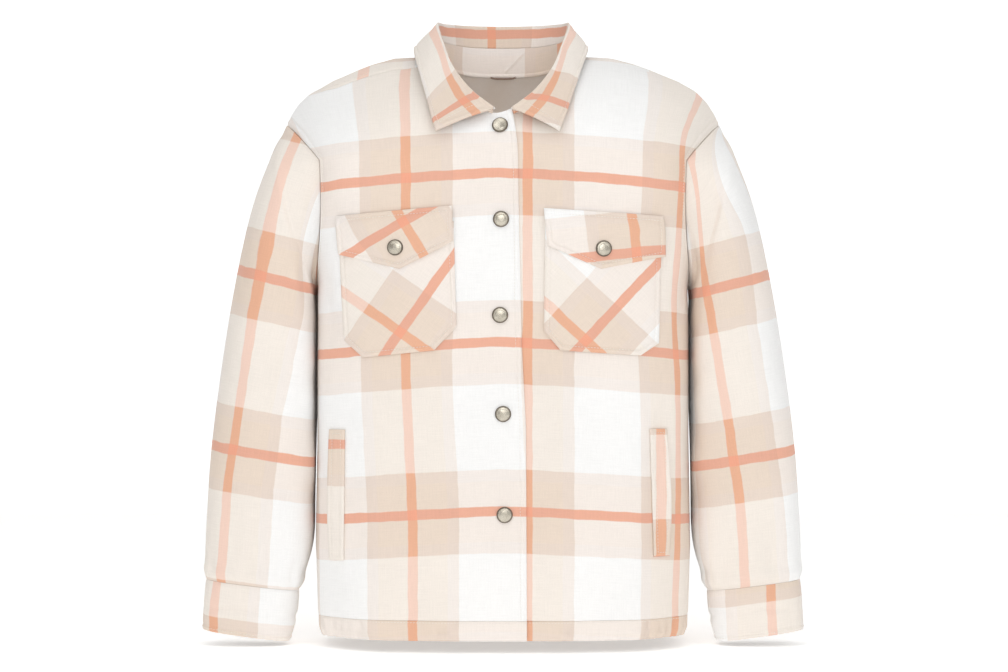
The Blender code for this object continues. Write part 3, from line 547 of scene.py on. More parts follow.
def shoulder_seam(side, neck_point):
    """Dense line of the shoulder seam from the neck to the shoulder point."""
    x = np.linspace(neck_point[0], SHOULDER_POINT[0], 60)
    fade = 1.0 - smooth_step(x, SEAM_FADE_X, SHOULDER_POINT[0])
    neck_drop = shoulder_height(neck_point[0]) - neck_point[2]
    blend = smooth_step(x, neck_point[0], neck_point[0] + SEAM_BLEND)
    drop = (neck_drop + (side["drop"] - neck_drop) * blend) * fade
    forward = side["forward"] * fade - SHOULDER_POINT[1] * (1.0 - fade)
    return np.stack([x, -forward, shoulder_height(x) - drop], axis=1)


def split_neck(side):
    """Neck seam cut where the shoulder seam meets it: the back's part and the front's part."""
    line = neck_line(side)
    cut = int(np.argmax(line[:, 1] <= -side["forward"]))
    return line[:cut + 1], line[cut:]


def rise_to_edge(low, high, slope, part, fullness):
    """Curve that leaves the chest upright and reaches an upper edge at a slope."""
    chord = high - low
    reach = np.linalg.norm(chord)
    level = np.array([chord[0], chord[1], 0.0])
    level /= max(np.linalg.norm(level), 1e-9)
    start_pull = np.array([0.0, 0.0, fullness * reach])
    end_pull = (level * math.cos(slope) + np.array([0.0, 0.0, math.sin(slope)])) * EDGE_PULL * reach
    square = part ** 2
    cube = part ** 3
    point = (2 * cube - 3 * square + 1) * low + (cube - 2 * square + part) * start_pull
    return point + (3 * square - 2 * cube) * high + (cube - square) * end_pull


def over_shoulder(low, high, turn, part):
    """Curve that leaves the upper back upright and turns by the given angle to its end."""
    chord = high - low
    angle = turn * part
    level = (1.0 - math.cos(angle)) / (1.0 - math.cos(turn))
    upright = math.sin(angle) / math.sin(turn)
    return low + np.array([chord[0] * level, chord[1] * level, chord[2] * upright])


def rounded_out(point, part, fraction):
    """Push the shoulder outwards between the chest and the shoulder point, at the armhole."""
    out = SHOULDER_BULGE * math.sin(math.pi * part) * smooth_step(fraction, BULGE_START, 1.0)
    return point + np.array([out, 0.0, 0.0])


def fullness(fraction):
    """How far the chest carries on upright before it leans in, from the middle to the armhole."""
    return CHEST_FULLNESS + (ARMHOLE_FULLNESS - CHEST_FULLNESS) * fraction ** 4


def drawn_back(grid):
    """Shorten the columns by the seam gap at their upper ends."""
    last = grid[-1] - grid[-2]
    grid[-1] -= last / np.linalg.norm(last, axis=1)[:, None] * SHOULDER_GAP
    return grid


def back_turn(top, neck_end):
    """How far each upper column of the back turns: little at the nape, past level at the shoulder."""
    turns = []
    nape_depth = COLLAR_STATIONS[0][0][1]
    for x, y, z in top:
        if x <= neck_end[0] + 1e-6 and y > 0.0:
            turns.append(LEVEL_TURN + (NAPE_TURN - LEVEL_TURN) * y / nape_depth)
            continue
        drop = max(0.0, shoulder_height(max(x, neck_end[0])) - z)
        full = z + drop - CHEST_Z
        past = LEVEL_TURN + (POINT_TURN - LEVEL_TURN) * smooth_step(x, SEAM_FADE_X, SHOULDER_POINT[0])
        turns.append(max(past, math.pi - math.asin(min(1.0, 1.0 - drop / full))))
    return turns


def armhole_loop(side):
    """Armhole edge on the +X side, from the shoulder point round the front and up the back."""
    fine = np.linspace(0.0, 1.0, 25)
    levels = np.linspace(CHEST_Z, UNDERARM_Z, 40)
    low = body_row(CHEST_Z, 0.0, armhole_depth(CHEST_Z), [1.0])[0]
    high = np.array(SHOULDER_POINT)
    upper = []
    for part in fine[::-1]:
        upper.append(rounded_out(rise_to_edge(low, high, ARMHOLE_SLOPE, part, fullness(1.0)), part, 1.0))
    lower = [body_row(z, 0.0, armhole_depth(z), [1.0])[0] for z in levels[1:]]
    front = np.array(upper + lower)
    low_back = low * TO_BACK
    turn = back_turn([SHOULDER_POINT], split_neck(side)[0][-1])[0]
    upper_back = []
    for part in fine[::-1]:
        upper_back.append(rounded_out(over_shoulder(low_back, high, turn, part), part, 1.0))
    back = np.array(upper_back + [point * TO_BACK for point in lower])
    half = SLEEVE_COLUMNS // 2
    ahead = at_fractions(front, np.linspace(0.0, 1.0, half + 1))
    behind = at_fractions(back, np.linspace(0.0, 1.0, half + 1))
    loop = np.concatenate([ahead, behind[1:-1][::-1]])
    middle = loop.mean(axis=0)
    towards = middle - loop
    towards[:, 0] = 0.0
    towards /= np.linalg.norm(towards, axis=1)[:, None]
    gap = SEAM_GAP * (1.0 + 1.5 * smooth_step(loop[:, 2], CHEST_Z, SHOULDER_POINT[2]))
    loop += towards * gap[:, None]
    loop[:, 0] += gap
    return loop


def sleeve_ring(row):
    """Closed ring from its outer edge round the front, the inner edge and the back."""
    outer_x, outer_z, inner_x, inner_z, half_depth, middle_y = row
    angle = np.linspace(0.0, 2.0 * math.pi, SLEEVE_COLUMNS, endpoint=False)
    power = 2.0 / np.where(np.cos(angle) < 0.0, INNER_SQUARENESS, SLEEVE_SQUARENESS)
    outwards = np.sign(np.cos(angle)) * np.abs(np.cos(angle)) ** power
    across = np.sign(np.sin(angle)) * np.abs(np.sin(angle)) ** power
    x = (outer_x + inner_x) / 2.0 + outwards * (outer_x - inner_x) / 2.0
    z = (outer_z + inner_z) / 2.0 + outwards * (outer_z - inner_z) / 2.0
    return np.stack([x, middle_y - across * half_depth, z], axis=1)


def pushed_in(grid, places, table, to_cuff):
    """Push troughs into a closed tube, towards the middle of each ring. to_cuff: as far as the cuff seam."""
    turns = np.arange(grid.shape[1]) / grid.shape[1]
    for place, turn, reach, turn_reach, lean, depth in table:
        for row, ring in enumerate(places):
            offset = turns - turn - lean * (ring - place)
            offset -= np.round(offset)
            weight = np.exp(-((ring - place) / reach) ** 2 - (offset / turn_reach) ** 2)
            inward = grid[row].mean(axis=0) - grid[row]
            inward /= np.linalg.norm(inward, axis=1)[:, None]
            fade = smooth_step(ring, 0.0, 1.0)
            if not to_cuff:
                fade *= 1.0 - smooth_step(ring, *CREASE_END)
            grid[row] += inward * (depth * weight * fade)[:, None]
    return grid


def sleeve_grid(side, places):
    """Rings of a sleeve from the armhole's edge to the cuff, at positions between the given rings."""
    rings = [armhole_loop(side)] + [sleeve_ring(row) for row in SLEEVE_RINGS]
    return pushed_in(through_rows(np.array(rings), places), places, SLEEVE_FOLDS, True)


def collar_curves(places):
    """Neck seam, stand seam, fold line and free edge round the whole neck, right end to left end."""
    table = np.array(COLLAR_STATIONS)
    left = table.copy()
    left[:, 3, 0] -= np.array(LEFT_LEAF_NARROWER)
    right = table[::-1].copy()
    right[:, :, 0] *= -1.0
    rows = np.concatenate([right, left[1:]])
    return through_rows(rows, places)


def fall_section(seam, fold, edge, outward):
    """One section of the fall: up to the fold line, over it and down to the free edge."""
    rise = fold - seam
    rise /= np.linalg.norm(rise)
    start = seam + rise * SEAM_GAP
    inner = fold - outward * FOLD_RADIUS * 0.5 - np.array([0.0, 0.0, FOLD_RADIUS])
    outer = fold + outward * FOLD_RADIUS * 1.5 - np.array([0.0, 0.0, FOLD_RADIUS])
    top = fold + outward * FOLD_RADIUS * 0.5
    points = [start, (start + inner) / 2.0, inner, top, outer]
    for part in np.linspace(0.0, 1.0, FALL_ROWS + 1)[1:]:
        point = outer + (edge - outer) * part
        points.append(point + outward * FALL_BULGE * math.sin(math.pi * part) * (1.0 - 0.4 * part))
    return points


def lap_edge(z):
    """Reach of the lapped front over the middle at a height."""
    return float(read_table(LAP_EDGE, 1, z))


def under_edge(z):
    """Reach of the under front, the same at every height."""
    return UNDER_LAP


def under_share(x):
    """How much of the under front's recess holds at a side distance: all under the lap."""
    return 1.0 - smooth_step(x, LAP_STEP, LAP_STEP + LAP_SOFTENING)


def along(corners, part):
    """Point at a fraction of a short outline of (x, z) corners, each stretch an equal share."""
    places = np.linspace(0.0, 1.0, len(corners))
    return np.array([np.interp(part, places, [corner[axis] for corner in corners]) for axis in (0, 1)])


pieces = {}
stitch_paths = []
TO_BACK = np.array([1.0, -1.0, 1.0])


def placed(name, data):
    """Object of the scene that shows a mesh, a lamp or a camera."""
    made = bpy.data.objects.new(name, data)
    bpy.context.scene.collection.objects.link(made)
    return made


def edge_places(length, spacing=FINE, first=True, last=True):
    """Fractions along a length, evenly spaced, with close ones beside the sewn edges."""
    count = max(8, int(round(length / spacing)))
    places = [np.linspace(0.0, 1.0, count + 1)]
    near = np.array(EDGE_STEPS) / length
    if first:
        places.append(near)
    if last:
        places.append(1.0 - near)
    merged = np.unique(np.concatenate(places))
    keep = [0.0]
    sewn = set(np.round(np.concatenate(places[1:]), 9)) if len(places) > 1 else set()
    for place in merged[1:-1]:
        close = place - keep[-1] < 0.0006 / length
        if close and round(place, 9) not in sewn:
            continue
        keep.append(place)
    keep.append(1.0)
    return np.array(keep)


def edge_distances(grid):
    """Distance of each point from the first column, the last column, the first row and the last row."""
    across = np.linalg.norm(np.diff(grid, axis=1), axis=2)
    along_rows = np.linalg.norm(np.diff(grid, axis=0), axis=2)
    left = summed(across, 1)
    low = summed(along_rows)
    return left, left[:, -1:] - left, low, low[-1:] - low


def grid_normals(grid, ring=False):
    """Unit normals of a grid of points, open or closed from its last column to its first."""
    if ring:
        across = np.roll(grid, -1, axis=1) - np.roll(grid, 1, axis=1)
    else:
        across = np.gradient(grid, axis=1)
    upwards = np.gradient(grid, axis=0)
    normals = np.cross(across, upwards)
    return normals / np.maximum(np.linalg.norm(normals, axis=2), 1e-12)[:, :, None]


def dip(distance, place, width, depth):
    """Soft groove at a place along a distance."""
    return -depth * np.exp(-((distance - place) / width) ** 2)


def seam_profile(distance, stitched=False, edge=0.0):
    """Height of the cloth beside a seam or a free edge: it dips at the seam and at the stitching."""
    height = dip(distance, 0.0, SEAM_DIP_WIDTH, SEAM_DIP + edge)
    if stitched:
        height = height + dip(distance, STITCH_IN, STITCH_DIP_WIDTH, STITCH_DIP)
        height = height + 0.0004 * np.exp(-((distance - STITCH_IN * 0.5) / 0.002) ** 2)
    return height


def creases(table, x, z, variation=0.0):
    """Sum of soft ridges and troughs laid along short lines."""
    total = np.zeros_like(x)
    for number, (x0, z0, x1, z1, width, height) in enumerate(table):
        shift = variation * math.sin(2.3 * number + 1.0)
        start = np.array([x0 + shift, z0 - 2.0 * shift])
        reach = np.array([x1 - x0, z1 - z0])
        length = np.hypot(*reach)
        part = ((x - start[0]) * reach[0] + (z - start[1]) * reach[1]) / length ** 2
        inside = np.clip(part, 0.0, 1.0)
        off = np.hypot(x - start[0] - inside * reach[0], z - start[1] - inside * reach[1])
        bend = 1.0 + 0.25 * np.sin(5.0 * part + number)
        taper = np.sin(math.pi * np.clip(inside * 0.9 + 0.05, 0, 1)) ** 0.6
        total += height * np.exp(-(off / (width * bend)) ** 2) * taper
    return total


def body_levels(spacing=FINE):
    """Heights of the body's rows from the hem seam to the chest."""
    low = HEM_SEAM_Z + SEAM_GAP
    length = CHEST_Z - low
    places = edge_places(length, spacing, last=False)
    near = UNDERARM_Z + np.array(NEAR_UNDERARM)
    levels = low + places * length
    clear = np.abs(levels[:, None] - near[None, :]).min(axis=1) > CLEAR_OF_UNDERARM
    return np.sort(np.concatenate([levels[clear], near]))


def upper_edge(neck, shoulder, fractions):
    """Points along the neck seam and then the shoulder seam."""
    on_neck = fractions[fractions < NECK_SHARE] / NECK_SHARE
    on_shoulder = (fractions[fractions >= NECK_SHARE] - NECK_SHARE) / (1.0 - NECK_SHARE)
    return np.concatenate([at_fractions(neck[:, :3], on_neck), at_fractions(shoulder, on_shoulder)])


def front_grid(side, lap, recess, fractions):
    """Points of a front on the +X side from the hem seam up, and how many rows lie below the chest."""
    side_fractions = fractions * (1.0 - SEAM_GAP / QUARTER_LENGTH)
    levels = body_levels()
    rows = [body_row(z, -lap(z), armhole_depth(z), side_fractions) for z in levels]
    chest = rows[-1]
    neck = split_neck(side)[1][::-1]
    top = upper_edge(neck, shoulder_seam(side, neck[-1]), fractions)
    for part in edge_places(UPPER_FRONT_LENGTH, UPPER_SPACING, first=False)[1:]:
        row = []
        for fraction, low, high in zip(fractions, chest, top):
            neckward = 1.0 - smooth_step(fraction, 0.0, NECK_SHARE)
            slope = side["slope"] + (NECK_SLOPE - side["slope"]) * neckward
            slope += (ARMHOLE_SLOPE - slope) * smooth_step(fraction, 0.8, 1.0)
            point = rise_to_edge(low, high, slope, part, fullness(fraction))
            row.append(rounded_out(point, part, fraction))
        rows.append(np.array(row))
    grid = drawn_back(np.array(rows))
    grid[:, :, 1] += recess * under_share(grid[:, :, 0])
    return grid, len(levels)


def back_half_grid(side, fractions):
    """Points of half the back on the +X side, and how many rows lie below the chest."""
    side_fractions = fractions * (1.0 - SEAM_GAP / QUARTER_LENGTH)
    levels = body_levels(BACK_SPACING)
    rows = [body_row(z, 0.0, armhole_depth(z), side_fractions) * TO_BACK for z in levels]
    chest = rows[-1]
    neck = split_neck(side)[0]
    top = upper_edge(neck, shoulder_seam(side, neck[-1]), fractions)
    turns = back_turn(top, neck[-1])
    for part in edge_places(UPPER_BACK_LENGTH, UPPER_SPACING, first=False)[1:]:
        row = []
        for fraction, low, high, turn in zip(fractions, chest, top, turns):
            row.append(rounded_out(over_shoulder(low, high, turn, part), part, fraction))
        rows.append(np.array(row))
    return drawn_back(np.array(rows)), len(levels)


def droop(x, z):
    """How far the crosswise lines hang lower away from the middle."""
    amount = 0.0150 - 0.0025 * smooth_step(-z, 0.35, 0.53)
    return amount * (np.abs(x) / 0.21) ** 1.4


def body_cloth(grid, chest_row, start):
    """Cloth coordinates of a body panel on the +X side: along its outline and up."""
    steps = np.hypot(np.diff(grid[:, :, 0], axis=1), np.diff(grid[:, :, 1], axis=1))
    u = summed(steps, 1)
    u += start[:, None]
    chest = grid[chest_row]
    lean = 0.028 * smooth_step(grid[:, :, 2], -0.120, -0.030) * (np.abs(grid[:, :, 0]) / 0.23) ** 3
    x = grid[:, :, 0] - lean
    reach = np.interp(x, chest[:, 0], u[chest_row])
    reach += np.maximum(x - chest[-1, 0], 0.0)
    blend = smooth_step(np.arange(grid.shape[0]), chest_row - 6, chest_row + 1)[:, None]
    u = u * (1.0 - blend) + reach * blend
    v = grid[:, :, 2] + droop(grid[:, :, 0], grid[:, :, 2])
    return np.stack([u, v], axis=2)


def lay_out(name, grid, uv, wall, ring=False, outward=True, pared=False, uv_split=None, inner_slot=False):
    """Skin a grid of points with quads and cloth coordinates, and thicken it."""
    rows, count = grid.shape[:2]
    points = grid[:, :-1] if ring else grid
    width = points.shape[1]
    index = np.arange(rows * width).reshape(rows, width)
    column = np.arange(count - 1)
    after = (column + 1) % width
    low = index[:-1][:, column]
    low_after = index[:-1][:, after]
    high = index[1:][:, column]
    high_after = index[1:][:, after]
    corners = [low, low_after, high_after, high]
    spots = [uv[:-1, :-1], uv[:-1, 1:], uv[1:, 1:], uv[1:, :-1]]
    if uv_split is not None:
        row, inner_uv = uv_split
        inner = [inner_uv[:-1, :-1], inner_uv[:-1, 1:], inner_uv[1:, 1:], inner_uv[1:, :-1]]
        spots = [np.concatenate([b[:row], a[row:]]) for a, b in zip(spots, inner)]
    if not outward:
        corners = corners[::-1]
        spots = spots[::-1]
    faces = np.stack(corners, axis=2).reshape(-1, 4)
    mesh = bpy.data.meshes.new(name)
    mesh.from_pydata(points.reshape(-1, 3).tolist(), [], faces.tolist())
    layer = mesh.uv_layers.new(name="cloth")
    layer.data.foreach_set("uv", np.stack(spots, axis=2).reshape(-1, 2).astype(np.float32).ravel())
    mesh.shade_smooth()
    piece = placed(name, mesh)
    mesh.materials.append(FLANNEL)
    thicken = piece.modifiers.new("wall", "SOLIDIFY")
    thicken.thickness = wall
    thicken.offset = -1.0
    thicken.use_quality_normals = True
    if inner_slot:
        mesh.materials.append(INSIDE)
        thicken.material_offset = 1
    if pared:
        group = piece.vertex_groups.new(name="wall")
        full = (rows - 4) * width
        group.add(list(range(full)), 1.0, "REPLACE")
        group.add(list(range(full, rows * width)), PARED_SHARE, "REPLACE")
        thicken.vertex_group = "wall"
    pieces[name] = piece
    return piece


def turned(grid):
    """Mirror image of a grid of points, its columns in the order that keeps the face outside."""
    other = grid[:, ::-1].copy()
    other[:, :, 0] *= -1.0
    return other


def turned_cloth(uv):
    """Cloth coordinates that go with a mirror image."""
    other = uv[:, ::-1].copy()
    other[:, :, 0] *= -1.0
    return other


def tucked(grid, uv, edge, outward=1.0, ring=False, ends=(0.004, 0.004)):
    """Add a seam allowance to an edge of a grid, folded in under the piece that it is sewn to.

    It narrows to nothing within a distance of each end of the edge.
    """
    normals = grid_normals(grid, False) * outward
    if ring:
        inner = grid_normals(grid[:, :-1], True) * outward
        normals = np.concatenate([inner, inner[:, :1]], axis=1)
    turn = edge in ("first", "last")
    if turn:
        grid, uv, normals = (part.transpose(1, 0, 2) for part in (grid, uv, normals))
    if edge in ("low", "first"):
        grid, uv, normals = grid[::-1], uv[::-1], normals[::-1]
    ahead = grid[-1] - grid[-2]
    ahead /= np.maximum(np.linalg.norm(ahead, axis=1), 1e-9)[:, None]
    step = uv[-1] - uv[-2]
    run = run_of(grid[-1])
    full = np.ones(len(run))
    if not ring:
        full = smooth_step(run, ends[0], ends[0] + 0.008)
        full = full * smooth_step(run[-1] - run, ends[1], ends[1] + 0.008)
    reach_share = full[:, None]
    depth_share = 0.2 + 0.8 * reach_share
    new = []
    for reach, depth in ((0.0001, 0.0012), (0.0008, 0.0024), (0.0042, 0.0034)):
        new.append(grid[-1] + ahead * reach * reach_share - normals[-1] * depth * depth_share)
    grid = np.concatenate([grid, np.array(new)])
    uv = np.concatenate([uv, np.array([uv[-1] + step * share for share in (0.5, 1.0, 2.0)])])
    if edge in ("low", "first"):
        grid, uv = grid[::-1], uv[::-1]
    if turn:
        grid, uv = grid.transpose(1, 0, 2), uv.transpose(1, 0, 2)
    return grid, uv


def add_stitches(points, normals):
    """Keep a path for the stitching."""
    stitch_paths.append((np.asarray(points), np.asarray(normals)))


def stitch_band(grid, flip=1.0):
    """Row of stitches just below the upper edge of a hem band."""
    normals = grid_normals(grid) * flip
    add_stitches(grid[-4], normals[-4])


def make_front(name, side, lap, recess, right_side):
    """One front, with its creases, dips and stitching."""
    fractions = edge_places(FRONT_LENGTH)
    grid, rows = front_grid(side, lap, recess, fractions)
    uv = body_cloth(grid, rows - 1, grid[:, 0, 0].copy())
    first, last, low, high = edge_distances(grid)
    mask = smooth_step(last, 0.0, 0.030) * smooth_step(low, 0.0, 0.025) * smooth_step(high, 0.0, 0.040)
    mask = mask * smooth_step(grid[:, :, 0], 0.026, 0.060)
    relief = creases(FRONT_CREASES, grid[:, :, 0], grid[:, :, 2], 0.004 if right_side else -0.003) * mask
    lapped = smooth_step(-grid[:, :, 0], -0.060, -0.020) if right_side else 0.0
    ripple = 0.0006 * np.sin(grid[:, :, 2] * 62.0) * smooth_step(first, 0.0, 0.012) * lapped
    relief += np.maximum(ripple, 0.0) * smooth_step(low, 0.0, 0.03)
    relief += seam_profile(first, True, 0.0004) if right_side else 0.0
    on_arm = smooth_step(grid[:, :, 2], UNDERARM_Z + 0.004, UNDERARM_Z + 0.030)
    relief += seam_profile(last) * (1.0 - 0.5 * on_arm)
    relief += on_arm * dip(last, ARM_STITCH_IN, STITCH_DIP_WIDTH, STITCH_DIP * 1.4)
    relief += on_arm * 0.0007 * np.exp(-((last - 0.0040) / 0.0026) ** 2)
    relief += seam_profile(low) * 0.6 + dip(high, 0.0, SEAM_DIP_WIDTH, 0.0006)
    grid = grid + grid_normals(grid) * relief[:, :, None]
    if right_side:
        grid = turned(grid)
        uv = turned_cloth(uv)
        uv[:, :, 0] += RIGHT_WARP - GRAIN_LEAN * smooth_step(-grid[:, :, 2], 0.36, 0.55)
        stitched = grid.shape[1] - 1 - int(np.argmin(np.abs(fractions - STITCH_IN / FRONT_LENGTH)))
        add_stitches(grid[:, stitched], grid_normals(grid)[:, stitched])
        arm = int(np.argmin(np.abs(fractions[::-1] - (1.0 - ARM_STITCH_IN / FRONT_LENGTH))))
    else:
        pull = np.where(grid[:, :, 2] > UNDERARM_Z, 0.065, 0.100)
        drawn = 0.0085 * np.exp(-((grid[:, :, 2] - UNDERARM_Z) / pull) ** 2)
        uv[:, :, 0] -= LEFT_WARP - drawn * smooth_step(grid[:, :, 0], 0.105, 0.170)
        arm = int(np.argmin(np.abs(fractions - (1.0 - ARM_STITCH_IN / FRONT_LENGTH))))
    normals = grid_normals(grid)
    above = grid[:, arm, 2] > UNDERARM_Z + 0.010
    add_stitches(grid[above, arm], normals[above, arm])
    uv[:, :, 1] -= WEFT_LINE
    ends = (0.004, 0.026) if right_side else (0.026, 0.004)
    shown, shown_uv = tucked(grid, uv, "high", ends=ends)
    lay_out(name, shown, shown_uv, PANEL_WALL, pared=True, inner_slot=True)
    return grid


def make_back():
    """The back, up to the forward shoulder seams."""
    fractions = edge_places(QUARTER_LENGTH, BACK_SPACING, first=False)
    left, rows = back_half_grid(SEAM_LEFT, fractions)
    right, rows = back_half_grid(SEAM_RIGHT, fractions)
    zero = np.zeros(left.shape[0])
    right_cloth, left_cloth = (body_cloth(half, rows - 1, zero) for half in (right, left))
    cloth = np.concatenate([turned_cloth(right_cloth), left_cloth[:, 1:]], axis=1)
    grid = np.concatenate([turned(right), left[:, 1:]], axis=1)
    first, last, low, high = edge_distances(grid)
    mask = smooth_step(first, 0.0, 0.030) * smooth_step(last, 0.0, 0.030)
    mask = mask * smooth_step(low, 0.0, 0.025) * smooth_step(high, 0.0, 0.050)
    relief = creases(BACK_CREASES, grid[:, :, 0], grid[:, :, 2]) * mask
    relief += seam_profile(first) + seam_profile(last) + seam_profile(low) * 0.6
    relief += dip(high, 0.0, SEAM_DIP_WIDTH, 0.0006)
    grid = grid - grid_normals(grid) * relief[:, :, None]
    cloth[:, :, 0] -= BACK_WARP
    cloth[:, :, 1] -= WEFT_LINE
    near = int(np.argmin(np.abs(fractions - (1.0 - ARM_STITCH_IN / QUARTER_LENGTH))))
    middle = len(fractions) - 1
    normals = -grid_normals(grid)
    for column in (middle + near, middle - near):
        above = grid[:, column, 2] > UNDERARM_Z + 0.010
        add_stitches(grid[above, column], normals[above, column])
    top = grid.shape[0] - 1 - sum(step <= STITCH_IN for step in EDGE_STEPS)
    for part in (grid[top, :, 0] < -COLLAR_CLEAR_X, grid[top, :, 0] > COLLAR_CLEAR_X):
        add_stitches(grid[top, part], normals[top, part])
    for edge in ("first", "last"):
        grid, cloth = tucked(grid, cloth, edge, -1.0)
    lay_out("back_panel", grid, cloth, PANEL_WALL, outward=False, pared=True, inner_slot=True)


def gathers(fractions, z):
    """Small upright folds of a hem band, deepest at its seam."""
    wave = np.zeros((len(z), len(fractions)))
    height = (np.array(z)[:, None] - HEM_Z) / (HEM_SEAM_Z - HEM_Z)
    for place, lean, depth in HEM_GATHERS:
        off = fractions[None, :] - place - lean * height * 4.0
        wave -= GATHER_GAIN * depth * np.exp(-(off / 0.0070) ** 2)
    return wave * np.sin(math.pi * np.clip(0.25 + 0.75 * height, 0.0, 1.0)) ** 0.7


def band_bulge(height):
    """Roundness of a hem band from its lower to its upper edge."""
    return 0.0009 * np.sin(math.pi * height) ** 0.5 - 0.0009 - 0.0018 * (1.0 - smooth_step(height, 0.0, 0.4))


def make_hem_bands():
    """The three bands along the hem."""
    top = HEM_SEAM_Z - SEAM_GAP
    shares = edge_places(top - HEM_Z, BAND_SPACING)
    levels = HEM_Z + shares * (top - HEM_Z)
    fractions = edge_places(QUARTER_LENGTH) * (1.0 - SEAM_GAP / QUARTER_LENGTH)
    bulge = band_bulge(shares)[:, None]
    fluting = gathers(fractions, levels) + bulge
    for name, right_side, lap in (("hem_band_right", True, lap_edge), ("hem_band_left", False, under_edge)):
        grid = np.array([body_row(z, -lap(z), 0.0, fractions) for z in levels])
        if not right_side:
            grid[:, :, 1] += (BAND_WALL + LAP_CLEARANCE) * under_share(grid[:, :, 0])
        uv = body_cloth(grid, 0, grid[:, 0, 0].copy())
        uv[:, :, 0] = uv[:1, :, 0]
        grid = grid + grid_normals(grid) * fluting[:, :, None]
        uv[:, :, 1] -= HEM_WEFT
        if right_side:
            grid, uv = turned(grid), turned_cloth(uv)
            uv[:, :, 0] += RIGHT_WARP - GRAIN_LEAN
        else:
            uv[:, :, 0] -= LEFT_WARP
        stitch_band(grid)
        grid, uv = tucked(grid, uv, "high")
        lay_out(name, grid, uv, BAND_WALL, inner_slot=True)
    half = np.array([body_row(z, 0.0, 0.0, fractions) * TO_BACK for z in levels])
    cloth = body_cloth(half, 0, np.zeros(len(levels)))
    cloth[:, :, 0] = cloth[:1, :, 0]
    half = half - grid_normals(half) * fluting[:, :, None]
    grid = np.concatenate([turned(half), half[:, 1:]], axis=1)
    uv = np.concatenate([turned_cloth(cloth), cloth[:, 1:]], axis=1)
    uv[:, :, 0] -= BACK_WARP
    uv[:, :, 1] -= HEM_WEFT
    stitch_band(grid, -1.0)
    for edge in ("high", "first", "last"):
        grid, uv = tucked(grid, uv, edge, -1.0)
    lay_out("hem_band_rear", grid, uv, BAND_WALL, outward=False, inner_slot=True)


def ring_cloth(grid, line, weft, scale, slope_table):
    """Cloth coordinates of a closed sleeve or cuff whose columns start at the inner edge."""
    half = SLEEVE_COLUMNS // 2
    run = summed(np.linalg.norm(np.diff(grid, axis=1), axis=2), 1)
    u = np.zeros(run.shape)
    for row in range(grid.shape[0]):
        front = grid[row, half:]
        off = front[:, 0] - read_table(line, 1, front[:, 2])
        crossed = np.nonzero(off <= 0.0)[0]
        at = crossed[0] if len(crossed) else len(front) - 1
        place = run[row, half + at]
        if at > 0:
            share = off[at - 1] / max(off[at - 1] - off[at], 1e-9)
            place = run[row, half + at - 1] + share * (run[row, half + at] - run[row, half + at - 1])
        u[row] = run[row] - place
    start = u[:, 0].copy()
    padded = np.concatenate([np.full(4, start[0]), start, np.full(4, start[-1])])
    u += (np.convolve(padded, np.ones(9) / 9.0, "valid") - start)[:, None]
    outer_x = grid[:, :, 0].max(axis=1)
    outer_z = np.array([ring[np.argmax(ring[:, 0]), 2] for ring in grid])
    order = np.argsort(outer_z)
    z = grid[:, :, 2]
    reach = np.interp(z, outer_z[order], outer_x[order]) - grid[:, :, 0]
    v = (z + read_table(slope_table, 1, z) * np.maximum(reach, 0.0) - weft) * scale
    return np.stack([u, v], axis=2)


def closed_tube(grid):
    """Rings that start at the inner edge, with the first column once more at the end."""
    rolled = np.roll(grid, -SLEEVE_COLUMNS // 2, axis=1)
    return np.concatenate([rolled, rolled[:, :1]], axis=1)


def tube_normals(grid):
    """Normals of a closed tube, and 1 where they point out of it, otherwise -1."""
    normals = grid_normals(grid[:, :-1], True)
    normals = np.concatenate([normals, normals[:, :1]], axis=1)
    out_of = grid - grid.mean(axis=1, keepdims=True)
    return normals, np.sign((normals * out_of).sum(axis=2).mean())


def make_sleeve(key, seam, line):
    """One sleeve, from the armhole to the cuff seam."""
    places = np.unique(np.concatenate([np.linspace(0.0, 1.0, 22), np.linspace(1.0, 10.0, 170)]))
    right_side = key == "right"
    grid = sleeve_grid(seam, places)
    turns = 0.02 if right_side else -0.02
    table = [(place, turn + turns * math.sin(3.0 * place), *rest) for place, turn, *rest in SLEEVE_CREASES]
    grid = closed_tube(pushed_in(grid, places, table, False))
    uv = ring_cloth(grid, line, SLEEVE_WEFT[key], SLEEVE_WEFT_SCALE, SLEEVE_SLOPE)
    eased = read_table(SLEEVE_EASE[key], 1, grid[:, :, 2])
    uv[:, :, 0] *= eased + (1.0 - eased) * smooth_step(np.abs(uv[:, :, 0]), 0.065, 0.160)
    if not right_side:
        uv[:, :, 1] -= 0.030 * smooth_step(grid[:, :, 2], -0.185, -0.120)
    low, high = edge_distances(grid)[2:]
    relief = seam_profile(low) * 0.3 + seam_profile(high) * 0.6
    around = np.linspace(0.0, 2.0 * math.pi, grid.shape[1])
    pleats = 0.6 * np.sin(9.0 * around + 0.6) + 0.4 * np.sin(14.0 * around + 2.0)
    relief += (0.0020 + 0.0006 * pleats) * np.exp(-((high - 0.0110) / 0.0085) ** 2)
    normals, outside = tube_normals(grid)
    grid = grid + normals * outside * relief[:, :, None]
    for edge in ("low", "high"):
        grid, uv = tucked(grid, uv, edge, outside, True)
    if right_side:
        grid, uv = turned(grid), turned_cloth(uv)
    lay_out("sleeve_tube_" + key, grid, uv, PANEL_WALL, ring=True, inner_slot=True)


